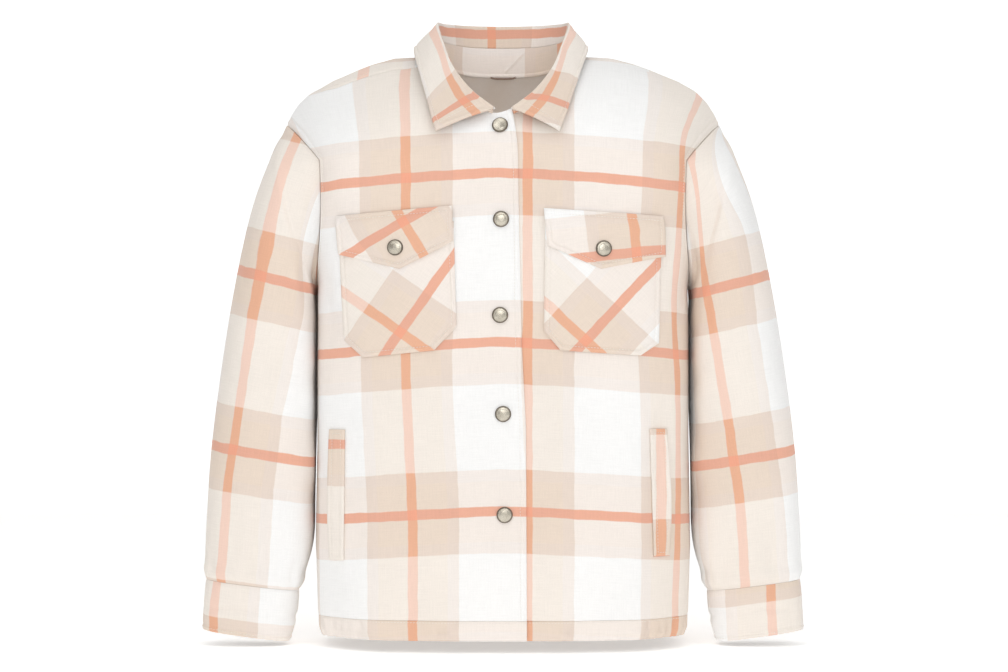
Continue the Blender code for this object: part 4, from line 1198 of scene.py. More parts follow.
def make_cuff(key, line):
    """One closed cuff with the fold across it."""
    right_side = key == "right"
    rings = np.array([sleeve_ring(row) for row in CUFF_RINGS])
    places = edge_places(CUFF_LENGTH, BAND_SPACING) * (len(CUFF_RINGS) - 1)
    grid = closed_tube(through_rows(rings, places))
    uv = ring_cloth(grid, line, CUFF_DARK_EDGE[key], 1.0, CUFF_SLOPE)
    uv[:, :, 1] += DARK_HALF_WEFT if right_side else -DARK_HALF_WEFT
    low, high = edge_distances(grid)[2:]
    down = low / (low + high)
    around = np.linspace(0.0, 2.0 * math.pi, grid.shape[1])
    relief = seam_profile(low) * 0.8 + seam_profile(high, True)
    relief += 0.0012 * np.sin(math.pi * np.clip(down, 0, 1))
    middle_fold = 0.50 + 0.04 * np.sin(2.0 * around + 0.4)
    relief += dip(down, middle_fold, 0.06, 0.0018) * (0.6 + 0.4 * np.sin(3.0 * around + 0.7))
    relief += 0.0010 * np.sin(5.0 * around + 1.3) * np.sin(math.pi * low / (low + high))
    normals, outside = tube_normals(grid)
    grid = grid + normals * outside * relief[:, :, None]
    if right_side:
        grid, uv = turned(grid), turned_cloth(uv)
    lay_out("cuff_band_" + key, grid, uv, BAND_WALL, ring=True, inner_slot=True)
    normals, outside = tube_normals(grid)
    row = grid.shape[0] - 1 - int(np.argmin(np.abs(np.array((0.0,) + EDGE_STEPS) - STITCH_IN)))
    add_stitches(grid[row], normals[row] * outside)


def fine_places(count):
    """Collar stations from the right end to the left end."""
    return np.linspace(0.0, 2.0 * (len(COLLAR_STATIONS) - 1), count)


def make_collar_stand():
    """The stand, with a crease across its inside."""
    curves = collar_curves(fine_places(420))
    neck = curves[:, 0]
    seam = curves[:, 1]
    up = seam - neck
    up /= np.linalg.norm(up, axis=1)[:, None]
    low = neck + up * NECK_GAP
    high = seam - up * SEAM_GAP
    shares = np.linspace(0.0, 1.0, 34)
    grid = np.array([low + (high - low) * share for share in shares])
    normals = grid_normals(grid)
    bulge = 0.0010 * np.sin(math.pi * shares)[:, None] * np.ones((1, grid.shape[1]))
    grid = grid + normals * bulge[:, :, None]
    first, _, rise, _ = edge_distances(grid)
    middle = grid.shape[1] // 2
    u = first - first[:, middle:middle + 1]
    uv = np.stack([u - 0.0790, rise + 0.0120], axis=2)
    fold_rise = (u - 0.0010) + 0.0020
    on_fold = smooth_step(u, 0.0, 0.004) * (1.0 - smooth_step(u, 0.022, 0.027))
    grid = grid + normals * (stand_outside(grid) * on_fold * dip(rise, fold_rise, 0.0016, 0.0016))[:, :, None]
    grid, uv = tucked(grid, uv, "low", stand_outside(grid))
    lay_out("stand", grid, uv, COLLAR_WALL)


def stand_outside(grid):
    """1 where the grid's own normals point away from the neck, otherwise -1."""
    middle = grid.shape[1] // 2
    return float(np.sign(grid_normals(grid)[grid.shape[0] // 2, middle, 1]))


def make_collar_fall():
    """The fall, up from the stand seam, over the fold line and down to its edge."""
    curves = collar_curves(fine_places(210))
    sections = []
    for seam, fold, edge in curves[:, 1:]:
        outward = edge - fold
        outward[2] *= 0.2
        outward /= np.linalg.norm(outward)
        coarse = np.array(fall_section(seam, fold, edge, outward))
        inner = columns_at(coarse[:3], range(3), np.linspace(0.0, 2.0, RISING_ROWS))
        turn = through_rows(coarse[2:5], np.linspace(0.0, 2.0, TURN_ROWS))
        sections.append(np.concatenate([inner, turn[1:], coarse[5:]]))
    grid = np.array(sections).transpose(1, 0, 2)
    top = RISING_ROWS - 1 + TURN_ROWS // 2
    first, last, rise, fall = edge_distances(grid)
    width = rise - rise[top:top + 1]
    middle = grid.shape[1] // 2
    run = np.mean(first[top - 6:top + 14], axis=0)
    total = run[-1]
    from_end = np.minimum(run, total - run)
    right_leaf = np.arange(grid.shape[1]) < middle
    line = np.interp(from_end, [0.0, 0.05, 0.12, 0.20], [0.0225, 0.0150, 0.0085, 0.0075])
    across = width - line[None, :]
    strip = np.where(right_leaf, 0.0270, 0.0350)
    v = from_end[None, :] - strip[None, :] - np.where(right_leaf, 0.0, 0.60)[None, :] * across
    uv = np.stack([across, v], axis=2)
    inner_u = np.broadcast_to((run - run[middle] + 0.0165)[None, :], width.shape)
    inner_uv = np.stack([inner_u, width + 0.0110], axis=2)
    normals = grid_normals(grid)
    free = np.minimum(fall, np.minimum(first, last))
    outer = np.zeros(width.shape)
    outer[top + 6:] = 1.0
    outer *= smooth_step(width, 0.004, 0.012)
    edges = dip(free, STITCH_IN, STITCH_DIP_WIDTH, STITCH_DIP * 1.2) + dip(free, 0.0, 0.0016, 0.0007)
    relief = outer * edges
    relief += outer * 0.0010 * np.exp(-((free - 0.0035) / 0.0022) ** 2)
    x = np.broadcast_to(from_end[None, :], width.shape)
    relief += outer * 0.0014 * np.sin(x * 60.0 + width * 40.0) * smooth_step(free, 0.004, 0.02)
    level = grid[top + 20]
    inside = np.array([0.0, -0.02, level[:, 2].mean()])
    outward = np.sign((normals[top + 20] * (level - inside)).sum())
    grid = grid + normals * outward * relief[:, :, None]
    lay_out("fall", grid, uv, COLLAR_WALL, uv_split=(top, inner_uv))
    normals = grid_normals(grid) * outward
    row = int(np.argmin(np.abs(fall[:, middle] - STITCH_IN)))
    ends = 7
    add_stitches(grid[row, ends:-ends], normals[row, ends:-ends])
    for column in (ends, grid.shape[1] - 1 - ends):
        add_stitches(grid[top + 8:row, column], normals[top + 8:row, column])


class Surface:
    """Outer face of a front, on the +X side, read at a side distance and a height."""

    def __init__(self, grid, right_side):
        points = turned(grid) if right_side else grid
        keep = [row for row in range(points.shape[0]) if points[row, :, 2].max() < CHEST_Z - 0.002]
        self.z = np.array([points[row, :, 2].mean() for row in keep])
        self.x = np.linspace(0.0, 0.2120, 320)
        self.y = np.array([np.interp(self.x, points[row, :, 0], points[row, :, 1]) for row in keep])

    def depth(self, x, z):
        column = np.clip(x / self.x[-1], 0.0, 1.0) * (len(self.x) - 1)
        row = np.interp(z, self.z, np.arange(len(self.z)))
        c0 = np.minimum(column.astype(int), len(self.x) - 2)
        r0 = np.minimum(row.astype(int), len(self.z) - 2)
        fc = column - c0
        fr = row - r0
        low = self.y[r0, c0] * (1 - fc) + self.y[r0, c0 + 1] * fc
        high = self.y[r0 + 1, c0] * (1 - fc) + self.y[r0 + 1, c0 + 1] * fc
        return low * (1 - fr) + high * fr

    def smooth_depth(self, x, z):
        total = 0.0
        for step_x, step_z in ((0, 0), (1, 0), (-1, 0), (0, 1), (0, -1), (1, 1), (-1, -1), (1, -1), (-1, 1)):
            total = total + self.depth(x + 0.002 * step_x, z + 0.002 * step_z)
        return total / 9.0

    def point(self, x, z, lift):
        step = 0.002
        slope = (self.smooth_depth(x + step, z) - self.smooth_depth(x - step, z)) / (2.0 * step)
        normal = np.stack([slope, -np.ones_like(slope), np.zeros_like(slope)], axis=-1)
        normal /= np.linalg.norm(normal, axis=-1)[..., None]
        place = np.stack([x, np.minimum(self.smooth_depth(x, z), self.depth(x, z)), z], axis=-1)
        return place + normal * np.asarray(lift)[..., None], normal


def outline_distance(x, z, corners):
    """Distance inside a closed outline of (x, z) corners."""
    best = np.full(x.shape, 1.0)
    for (x0, z0), (x1, z1) in zip(corners, corners[1:] + corners[:1]):
        dx, dz = x1 - x0, z1 - z0
        part = np.clip(((x - x0) * dx + (z - z0) * dz) / (dx * dx + dz * dz), 0.0, 1.0)
        best = np.minimum(best, np.hypot(x - x0 - part * dx, z - z0 - part * dz))
    return best


def bias(x, z, centre, angle):
    """Cloth coordinates turned by an angle about the crossing of two lines."""
    dx = x - centre[0]
    dz = z - centre[1]
    u = dx * math.cos(angle) + dz * math.sin(angle)
    v = -dx * math.sin(angle) + dz * math.cos(angle)
    return np.stack([u, v], axis=-1)


def inset_path(corners, inset):
    """Dense closed line inside a convex outline, at an even distance from its edges."""
    middle = np.mean(corners, axis=0)
    lines = []
    for (x0, z0), (x1, z1) in zip(corners, corners[1:] + corners[:1]):
        direction = np.array([x1 - x0, z1 - z0])
        direction /= np.hypot(*direction)
        normal = np.array([-direction[1], direction[0]])
        if np.dot(normal, middle - np.array([x0, z0])) < 0.0:
            normal = -normal
        lines.append((np.array([x0, z0]) + normal * inset, direction))
    spots = []
    for (a, d), (b, e) in zip(lines[-1:] + lines[:-1], lines):
        cross = d[0] * e[1] - d[1] * e[0]
        spots.append(a + d * (((b - a)[0] * e[1] - (b - a)[1] * e[0]) / cross))
    spots = np.array(spots + spots[:1])
    lengths = summed(np.hypot(*np.diff(spots, axis=0).T))
    wanted = np.linspace(0.0, lengths[-1], int(lengths[-1] / PATH_STEP))
    return columns_at(spots, lengths, wanted).T


def patch_relief(distance):
    """Puffed edge, stitched dip and soft middle of a patch, from its distance inside the edge."""
    height = -0.0010 * (1.0 - smooth_step(distance, 0.0, 0.0022))
    height += 0.0006 * np.exp(-((distance - 0.0032) / 0.0022) ** 2)
    height += dip(distance, STITCH_IN - 0.0010, STITCH_DIP_WIDTH, STITCH_DIP * 1.3)
    return height


def make_patch(name, surface, edges, rows, wall, lift, right_side, cloth, waves):
    """Patch laid on a front between two edges. rows gives x and z from two grids of shares."""
    corners = list(edges[0]) + list(edges[1])[::-1]
    across, down = np.meshgrid(edge_places(0.1400, PATCH_SPACING), edge_places(0.1100, PATCH_SPACING))
    x, z = rows(*edges, across, down)
    distance = outline_distance(x, z, corners)
    base, normal = surface.point(x, z, lift(down) + waves(x, z) * smooth_step(distance, 0.0, 0.02))
    relief = patch_relief(distance)
    uv = cloth(-x if right_side else x, z)[::-1]
    outer = (base + normal * (wall + relief)[:, :, None])[::-1]
    low = base[::-1]
    if right_side:
        outer, low = turned(outer), turned(low)
        uv = uv[:, ::-1]
    piece = lay_out(name, outer, uv, wall)
    depth = np.linalg.norm(outer - low, axis=2).ravel()
    group = piece.vertex_groups.new(name="depth")
    for index, value in enumerate(np.clip(depth / (wall * 1.6), 0.02, 1.0)):
        group.add([index], float(value), "REPLACE")
    piece.modifiers["wall"].thickness = wall * 1.6
    piece.modifiers["wall"].vertex_group = "depth"
    path_x, path_z = inset_path(corners, STITCH_IN - 0.0010)
    top_share = np.clip((path_z - z.min()) / (z.max() - z.min()), 0.0, 1.0)
    height = lift(1.0 - top_share) + wall - 0.0005 + waves(path_x, path_z)
    line, normal = surface.point(path_x, path_z, height)
    sign = np.array([-1.0 if right_side else 1.0, 1.0, 1.0])
    add_stitches(line * sign, normal * sign)


def bag_rows(inner, outer, across, down):
    """x and z of a pocket bag, with most of its rows above the cut-off corners."""
    part = np.interp(down, [0.0, 0.78, 1.0], [0.0, 0.5, 1.0])
    start = along(inner, part)
    return start + (along(outer, part) - start) * across


def flap_rows(top, bottom, across, down):
    """x and z of a flap."""
    start = along(top, across)
    return start + (along(bottom, across) - start) * down


def flat_lift(down):
    """Height of a pocket bag off the front."""
    return PATCH_LIFT + 0.0 * down


def flap_lift(down):
    """Height of a flap off the front: it stands off more over the bag."""
    return PATCH_LIFT + (FLAP_LIFT - PATCH_LIFT) * smooth_step(down, 0.0, FLAP_LIFTED)


def pocket_waves(phase):
    """Function that gives the soft waves of a patch."""
    def waves(x, z):
        return 0.0011 * np.sin(34.0 * x + 21.0 * z + phase) * np.sin(27.0 * z + phase) + 0.0008
    return waves


def make_pockets(surfaces):
    """Bag and flap of both chest pockets."""
    for name, pocket, surface, phase in (
        ("right", POCKET_RIGHT, surfaces[0], 0.6), ("left", POCKET_LEFT, surfaces[1], 2.1),
    ):
        make_patch("pocket_bag_" + name, surface, (pocket["inner_edge"], pocket["outer_edge"]), bag_rows,
                   POCKET_WALL, flat_lift, name == "right",
                   lambda x, z: bias(x, z, *pocket["bag_crossing"])[..., ::-1], pocket_waves(phase))
        make_patch("pocket_flap_" + name, surface, (pocket["flap_top"], pocket["flap_bottom"]), flap_rows,
                   FLAP_WALL, flap_lift, name == "right",
                   lambda x, z: bias(x, z, *pocket["flap_crossing"]), pocket_waves(phase + 1.0))


def make_welts(surfaces):
    """The upright welts of the side pockets."""
    for name, welt, surface, right_side in (
        ("right", WELT_RIGHT, surfaces[0], True), ("left", WELT_LEFT, surfaces[1], False),
    ):
        top = np.array(welt["top"])
        bottom = np.array(welt["bottom"])
        down = edge_places(0.150, PATCH_SPACING)
        down, across = np.meshgrid(down, edge_places(0.0180, PATCH_SPACING / 2.0), indexing="ij")
        rows = top[None, None, :] * (1.0 - down)[:, :, None] + bottom[None, None, :] * down[:, :, None]
        x = rows[:, :, 0] + (rows[:, :, 1] - rows[:, :, 0]) * across
        z = rows[:, :, 2]
        corners = [(top[0], top[2]), (top[1], top[2]), (bottom[1], bottom[2]), (bottom[0], bottom[2])]
        distance = outline_distance(x, z, corners)
        lift = PATCH_LIFT + welt["gape"] * across ** 2 * np.sin(math.pi * down)
        relief = -0.0010 * (1.0 - smooth_step(distance, 0.0, 0.0020))
        relief += dip(distance, WELT_STITCH_IN, 0.0009, 0.0004)
        outer, normal = surface.point(x, z, lift + WELT_WALL + relief)
        shift = WELT_CLOTH[name]
        uv = np.stack([x - top[0] + shift[0], z + shift[1]], axis=2)
        grid, cloth = outer[::-1], uv[::-1]
        if right_side:
            grid, cloth = turned(grid), cloth[:, ::-1]
        lay_out("side_welt_" + name, grid, cloth, WELT_WALL)
        path_x, path_z = inset_path(corners, WELT_STITCH_IN)
        share = np.clip((path_z - bottom[2]) / (top[2] - bottom[2]), 0.0, 1.0)
        side = np.clip((path_x - top[0]) / (top[1] - top[0]), 0.0, 1.0)
        gape = welt["gape"] * side ** 2 * np.sin(math.pi * share)
        spots, normal = surface.point(path_x, path_z, PATCH_LIFT + gape + WELT_WALL - 0.0003)
        sign = np.array([-1.0 if right_side else 1.0, 1.0, 1.0])
        add_stitches(spots * sign, normal * sign)


def grid_spot(grid, x, z):
    """Point and outward direction of a front's cloth at a place in x and z."""
    nearest = np.argmin((grid[:, :, 0] - x) ** 2 + (grid[:, :, 2] - z) ** 2)
    row, column = np.unravel_index(nearest, grid.shape[:2])
    normals = grid_normals(grid)[max(row - 2, 0):row + 3, max(column - 2, 0):column + 3].reshape(-1, 3)
    normal = normals.mean(axis=0)
    normal /= np.linalg.norm(normal)
    if normal[1] > 0.0:
        normal = -normal
    near = grid[row, column]
    y = near[1] - (normal[0] * (x - near[0]) + normal[2] * (z - near[2])) / normal[1]
    return np.array([x, y, z]), normal


def lathe(name, profile, point, normal, material, rim=None):
    """Closed form turned from a profile of radius and height. Faces beyond a rim radius get dark metal, which
    is painted shade on the edge.
    """
    mesh = bpy.data.meshes.new(name)
    shape = bmesh.new()
    verts = [shape.verts.new((radius, 0.0, height)) for radius, height in profile]
    for start, end in zip(verts[:-1], verts[1:]):
        shape.edges.new((start, end))
    bmesh.ops.spin(shape, geom=shape.verts[:] + shape.edges[:], axis=(0, 0, 1), cent=(0, 0, 0),
                   steps=SNAP_STEPS, angle=2.0 * math.pi, use_merge=True)
    bmesh.ops.remove_doubles(shape, verts=shape.verts[:], dist=0.000001)
    bmesh.ops.recalc_face_normals(shape, faces=shape.faces[:])
    shape.to_mesh(mesh)
    shape.free()
    mesh.shade_smooth()
    in_painted_shade = [math.hypot(face.center[0], face.center[1]) > rim for face in mesh.polygons] if rim else []
    turn = Vector(normal).to_track_quat("Z", "Y").to_matrix().to_4x4()
    turn.translation = Vector(point)
    mesh.transform(turn)
    piece = placed(name, mesh)
    mesh.materials.append(material)
    if rim:
        mesh.materials.append(RIM_SHADE_METAL)
        for face, outside in zip(mesh.polygons, in_painted_shade):
            face.material_index = int(outside)
    pieces[name] = piece
    return piece


def make_snap(name, point, normal):
    """Domed cap whose rolled rim is painted shade, standing in a thin dark ring that is the painted shadow of
    the gap round the cap.
    """
    rim = SNAP_RADIUS
    profile = []
    for share in np.linspace(0.0, 0.88, 20):
        groove = 0.00016 * math.exp(-((share - 0.70) / 0.05) ** 2)
        profile.append((rim * share, 0.0009 + 0.0020 * math.sqrt(1.0 - (share * 0.96) ** 2) - groove))
    for turn in np.linspace(math.radians(150), math.radians(-80), 10):
        profile.append((rim - 0.0007 + 0.0007 * math.cos(turn), 0.0012 + 0.0007 * math.sin(turn)))
    profile += [(rim * 0.9, 0.0004), (0.0, 0.0004)]
    # The rolled rim beyond 0.905 of the radius gets the dark metal, which is painted shade on the cap's edge
    lathe(name + "_cap", profile, point + normal * 0.0002, normal, PEWTER, rim * 0.905)
    # Thin dark ring round the cap: the painted shadow of the gap under its edge
    edge = [(rim + 0.0003, 0.0006), (rim + 0.0006, 0.0003), (rim + 0.0004, -0.0006)]
    shade_ring = [(0.0, 0.0006)] + edge + [(0.0, -0.0006)]
    lathe(name + "_washer", shade_ring, point, normal, RIM_SHADE_METAL)


def make_snaps(lapped, surfaces):
    """The snaps down the front and on the flaps."""
    for number, (x, z) in enumerate(FRONT_SNAPS, start=1):
        point, normal = grid_spot(lapped, x, z)
        make_snap("snap_front_%d" % number, point + normal * 0.0006, normal)
    for name, pocket, surface, sign in (
        ("right", POCKET_RIGHT, surfaces[0], -1.0), ("left", POCKET_LEFT, surfaces[1], 1.0),
    ):
        x, z = pocket["snap"]
        lift = FLAP_LIFT + FLAP_WALL + 0.0014
        point, normal = surface.point(np.array([x]), np.array([z]), np.array([lift]))
        turn = np.array([sign, 1.0, 1.0])
        make_snap("snap_flap_" + name, point[0] * turn, normal[0] * turn)


def make_loop():
    """Flat loop of tape that droops under the back neck seam. Its dark brown is painted shade for the shadow
    line there.
    """
    shares = np.linspace(-1.0, 1.0, 41)
    drop = LOOP_DROOP * (1.0 - shares ** 4)
    middle = np.stack([LOOP_HALF_SPAN * shares, LOOP_Y - drop * LOOP_LEAN, LOOP_Z - drop], axis=1)
    heights = (-0.0011, -0.0005, 0.0, 0.0005, 0.0011)
    grid = np.array([middle + np.array([0.0, -0.0008, height]) for height in heights])
    uv = np.stack([grid[:, :, 0], grid[:, :, 2]], axis=2)
    piece = lay_out("hanging_tape", grid, uv, 0.0009)
    piece.data.materials[0] = SHADED_TAPE


def one_stitch():
    """Points and faces of one stitch along X, a little flat."""
    points = []
    for share, swell in ((-0.5, 0.35), (-0.38, 0.85), (0.0, 1.0), (0.38, 0.85), (0.5, 0.35)):
        for turn in np.linspace(0.0, 2.0 * math.pi, 6, endpoint=False):
            across = math.cos(turn) * STITCH_RADIUS * swell
            points.append((share * STITCH_LENGTH, across, math.sin(turn) * STITCH_RADIUS * swell * 0.8))
    faces = []
    for start in range(0, 24, 6):
        for step in range(6):
            after = (step + 1) % 6
            faces.append((start + step, start + 6 + step, start + 6 + after, start + after))
    faces.append(tuple(range(6)))
    faces.append(tuple(range(29, 23, -1)))
    return np.array(points), faces


def make_stitches():
    """Lay rows of short stitches along every recorded path."""
    shape, faces = one_stitch()
    points = []
    cells = []
    for path, normals in stitch_paths:
        if len(path) < 3:
            continue
        run = run_of(path)
        count = int(run[-1] / STITCH_PITCH)
        spots = (np.arange(count) + 0.5) * run[-1] / max(count, 1)
        middle = columns_at(path, run, spots)
        forward = columns_at(path, run, spots + 0.001) - columns_at(path, run, spots - 0.001)
        up = columns_at(normals, run, spots)
        forward /= np.maximum(np.linalg.norm(forward, axis=1), 1e-9)[:, None]
        up /= np.linalg.norm(up, axis=1)[:, None]
        side = np.cross(up, forward)
        side /= np.maximum(np.linalg.norm(side, axis=1), 1e-9)[:, None]
        up = np.cross(forward, side)
        for m, f, s, u in zip(middle + up * STITCH_LIFT, forward, side, up):
            base = len(points) * len(shape)
            points.append(m + shape[:, :1] * f + shape[:, 1:2] * s + shape[:, 2:3] * u)
            cells.extend([tuple(base + corner for corner in face) for face in faces])
    mesh = bpy.data.meshes.new("stitching")
    mesh.from_pydata(np.concatenate(points).tolist(), [], cells)
    mesh.shade_smooth()
    mesh.materials.append(THREAD)
    pieces["stitching"] = placed("stitching", mesh)


class Nodes:
    """Small helper that adds nodes and joins them."""

    def __init__(self, name):
        self.material = bpy.data.materials.new(name)
        self.material.use_nodes = True
        self.tree = self.material.node_tree
        self.shader = self.tree.nodes["Principled BSDF"]

    def add(self, kind, inputs=(), **settings):
        made = self.tree.nodes.new(kind)
        for key, value in settings.items():
            setattr(made, key, value)
        for key, value in dict(inputs).items():
            self.put(made.inputs[key], value)
        return made

    def put(self, socket, value):
        if isinstance(value, bpy.types.NodeSocket):
            self.tree.links.new(value, socket)
        else:
            socket.default_value = value

    def finished(self, colour, height, strength, depth, rough, **others):
        """Material with a colour, a bump and a roughness. Others are named with _ for a space."""
        bump = self.add("ShaderNodeBump", {"Strength": strength, "Distance": depth, "Height": height})
        wanted = {"Base Color": colour, "Normal": bump.outputs[0], "Roughness": rough}
        wanted.update({name.replace("_", " "): value for name, value in others.items()})
        for name, value in wanted.items():
            self.put(self.shader.inputs[name], value)
        return self.material

    def place(self):
        return self.add("ShaderNodeTexCoord").outputs["Object"]

    def vector(self, operation, first, inputs):
        return self.add("ShaderNodeVectorMath", {0: first, **inputs}, operation=operation).outputs[0]

    def math(self, operation, first, second=0.0):
        return self.add("ShaderNodeMath", {0: first, 1: second}, operation=operation).outputs[0]

    def mix(self, share, first, second, kind="MIX"):
        inputs = {0: share, 6: first, 7: second}
        return self.add("ShaderNodeMix", inputs, data_type="RGBA", blend_type=kind).outputs[2]

    def ramp(self, value, low, high, start, end, kind="SMOOTHSTEP"):
        inputs = {0: value, 1: low, 2: high, 3: start, 4: end}
        return self.add("ShaderNodeMapRange", inputs, interpolation_type=kind).outputs[0]

    def noise(self, vector, scale, detail=2.0, rough=0.5):
        inputs = {"Vector": vector, "Scale": scale, "Detail": detail, "Roughness": rough}
        return self.add("ShaderNodeTexNoise", inputs).outputs["Fac"]

    def stretched(self, vector, scale):
        return self.add("ShaderNodeMapping", {"Vector": vector, "Scale": scale}).outputs[0]


def yarns(nodes, cloth, fuzz):
    """Height of the weave and its nap, and the unevenness of its yarns."""
    parts = nodes.add("ShaderNodeSeparateXYZ", {0: cloth})
    warp = nodes.math("SINE", nodes.math("MULTIPLY", parts.outputs[0], 2.0 * math.pi / YARN_PITCH))
    weft = nodes.math("SINE", nodes.math("MULTIPLY", parts.outputs[1], 2.0 * math.pi / YARN_PITCH))
    weave = nodes.math("MULTIPLY", warp, weft)
    lengthwise = nodes.noise(nodes.stretched(cloth, (1100.0, 45.0, 1.0)), 1.0)
    crosswise = nodes.noise(nodes.stretched(cloth, (45.0, 1100.0, 1.0)), 1.0)
    streaks = nodes.math("ADD", lengthwise, crosswise)
    height = nodes.math("ADD", nodes.math("MULTIPLY", weave, 0.25), nodes.math("MULTIPLY", fuzz, 1.1))
    height = nodes.math("ADD", height, nodes.math("MULTIPLY", streaks, 0.5))
    return height, streaks


def make_flannel():
    """Brushed plaid read from the cloth coordinates, in metres."""
    nodes = Nodes("plaid_flannel_worn")
    cloth = nodes.add("ShaderNodeUVMap", uv_map="cloth").outputs[0]
    place = nodes.place()
    drift = nodes.add("ShaderNodeTexNoise", {"Vector": place, "Scale": 38.0, "Detail": 3.0}).outputs["Color"]
    shift = nodes.vector("SUBTRACT", drift, {1: (0.5, 0.5, 0.5)})
    shift = nodes.vector("SCALE", shift, {"Scale": WANDER})
    moved = nodes.vector("ADD", cloth, {1: shift})
    parts = nodes.add("ShaderNodeSeparateXYZ", {0: moved})

    def distance(value, repeat):
        turns = nodes.math("ADD", nodes.math("DIVIDE", value, repeat), 0.5)
        off = nodes.math("SUBTRACT", nodes.math("FRACT", turns), 0.5)
        return nodes.math("MULTIPLY", nodes.math("ABSOLUTE", off), repeat)

    def inside(value, half, soft):
        return nodes.ramp(value, half - soft, half + soft, 1.0, 0.0)

    def strip(value, half, band):
        core = inside(value, half - STRIP_WIDTH, BAND_SOFTNESS)
        return nodes.math("MULTIPLY", nodes.math("SUBTRACT", 1.0, core), band)

    warp = distance(parts.outputs[0], WARP_REPEAT)
    weft = distance(parts.outputs[1], WEFT_REPEAT)
    dark_warp = inside(warp, DARK_HALF_WARP, BAND_SOFTNESS)
    dark_weft = inside(weft, DARK_HALF_WEFT, BAND_SOFTNESS)
    line_warp = inside(warp, LINE_HALF, LINE_SOFTNESS)
    line_weft = inside(weft, LINE_HALF, LINE_SOFTNESS)
    strip_warp = strip(warp, DARK_HALF_WARP, dark_warp)
    strip_weft = strip(weft, DARK_HALF_WEFT, dark_weft)
    single = nodes.mix(dark_warp, WHITE, CREAM)
    double = nodes.mix(dark_warp, CREAM_WEFT, BEIGE)
    colour = nodes.mix(dark_weft, single, double)
    rosy = nodes.mix(nodes.math("MULTIPLY", dark_weft, dark_warp), ROSE_LIGHT, ROSE)
    colour = nodes.mix(nodes.math("MULTIPLY", strip_warp, 0.6), colour, rosy)
    colour = nodes.mix(nodes.math("MULTIPLY", strip_weft, 0.5), colour, rosy)
    colour = nodes.mix(line_warp, colour, nodes.mix(dark_weft, PEACH_PALE, PEACH))
    colour = nodes.mix(line_weft, colour, nodes.mix(dark_warp, PEACH_ON_WHITE, PEACH_ON_CREAM))
    colour = nodes.mix(nodes.math("MULTIPLY", line_warp, line_weft), colour, PEACH_CROSSING)
    fuzz = nodes.noise(place, 620.0, 4.0, 0.65)
    height, streaks = yarns(nodes, cloth, fuzz)
    cloudy = nodes.noise(place, 14.0, 2.0)
    tone = nodes.ramp(streaks, 0.7, 1.3, 0.955, 1.015, "LINEAR")
    tone = nodes.math("ADD", tone, nodes.ramp(cloudy, 0.3, 0.7, -0.012, 0.012, "LINEAR"))
    tone = nodes.math("ADD", tone, nodes.ramp(fuzz, 0.25, 0.75, -0.02, 0.02, "LINEAR"))
    grey = nodes.add("ShaderNodeCombineColor", {0: tone, 1: tone, 2: tone}).outputs[0]
    colour = nodes.mix(1.0, colour, grey, "MULTIPLY")
    rough = nodes.ramp(fuzz, 0.2, 0.8, 0.82, 0.96, "LINEAR")
    return nodes.finished(colour, height, 0.45, 0.0004, rough, Sheen_Weight=0.18, Sheen_Roughness=0.45,
                          Specular_IOR_Level=0.2)


def make_inside():
    """Napped wrong side, pale, its tone uneven and the weave in its bump."""
    nodes = Nodes("flannel_wrong_side")
    cloth = nodes.add("ShaderNodeUVMap", uv_map="cloth").outputs[0]
    place = nodes.place()
    fuzz = nodes.noise(place, 420.0, 5.0, 0.7)
    height = yarns(nodes, cloth, fuzz)[0]
    cloudy = nodes.noise(place, 22.0, 3.0)
    colour = nodes.mix(nodes.ramp(cloudy, 0.3, 0.7, 0.0, 1.0), WRONG_SIDE, WRONG_SIDE_DEEP)
    colour = nodes.mix(nodes.ramp(fuzz, 0.35, 0.75, 0.0, 0.35), colour, WRONG_SIDE_DEEP)
    return nodes.finished(colour, height, 0.6, 0.0008, 0.95, Sheen_Weight=0.25)


def make_metal(name, light, dark, rough):
    """Aged metal, its colour and gloss uneven."""
    nodes = Nodes(name)
    place = nodes.place()
    cloudy = nodes.noise(place, 130.0, 3.0, 0.5)
    fine = nodes.noise(place, 1800.0, 2.0)
    colour = nodes.mix(nodes.ramp(cloudy, 0.30, 0.85, 0.0, 0.7), light, dark)
    uneven = nodes.ramp(fine, 0.3, 0.7, rough, rough + 0.12, "LINEAR")
    return nodes.finished(colour, fine, 0.25, 0.0001, uneven, Metallic=1.0)


def make_plain(name, light, dark, scale, rough):
    """Yarn or tape with a fine uneven tone."""
    nodes = Nodes(name)
    place = nodes.place()
    fine = nodes.noise(place, scale, 3.0, 0.6)
    colour = nodes.mix(nodes.ramp(fine, 0.3, 0.7, 0.0, 1.0), light, dark)
    return nodes.finished(colour, fine, 0.4, 0.0002, rough, Sheen_Weight=0.2)


def make_camera():
    """Camera straight in front of the garment."""
    lens = bpy.data.cameras.new("camera")
    lens.lens = 36.0 * CAMERA_DISTANCE / VIEW_WIDTH
    lens.sensor_width = 36.0
    camera = placed("camera", lens)
    camera.location = (CAMERA_X, -CAMERA_DISTANCE, CAMERA_Z)
    camera.rotation_euler = (math.radians(90), 0.0, 0.0)
    bpy.context.scene.camera = camera


def make_lamp(name, place, power):
    """Small lamp that the camera doesn't see."""
    lamp = bpy.data.lights.new(name, "POINT")
    lamp.energy = power
    lamp.shadow_soft_size = 0.03
    holder = placed(name, lamp)
    holder.location = place
    holder.visible_camera = False


def make_light(name, place, size, power):
    """Round soft lamp that is turned to the garment."""
    lamp = bpy.data.lights.new(name, "AREA")
    lamp.shape = "DISK"
    lamp.size = size
    lamp.energy = power
    light = placed(name, lamp)
    light.location = place
    aim = Vector((0.0, 0.0, CAMERA_Z)) - Vector(place)
    light.rotation_euler = aim.to_track_quat("-Z", "Y").to_euler()


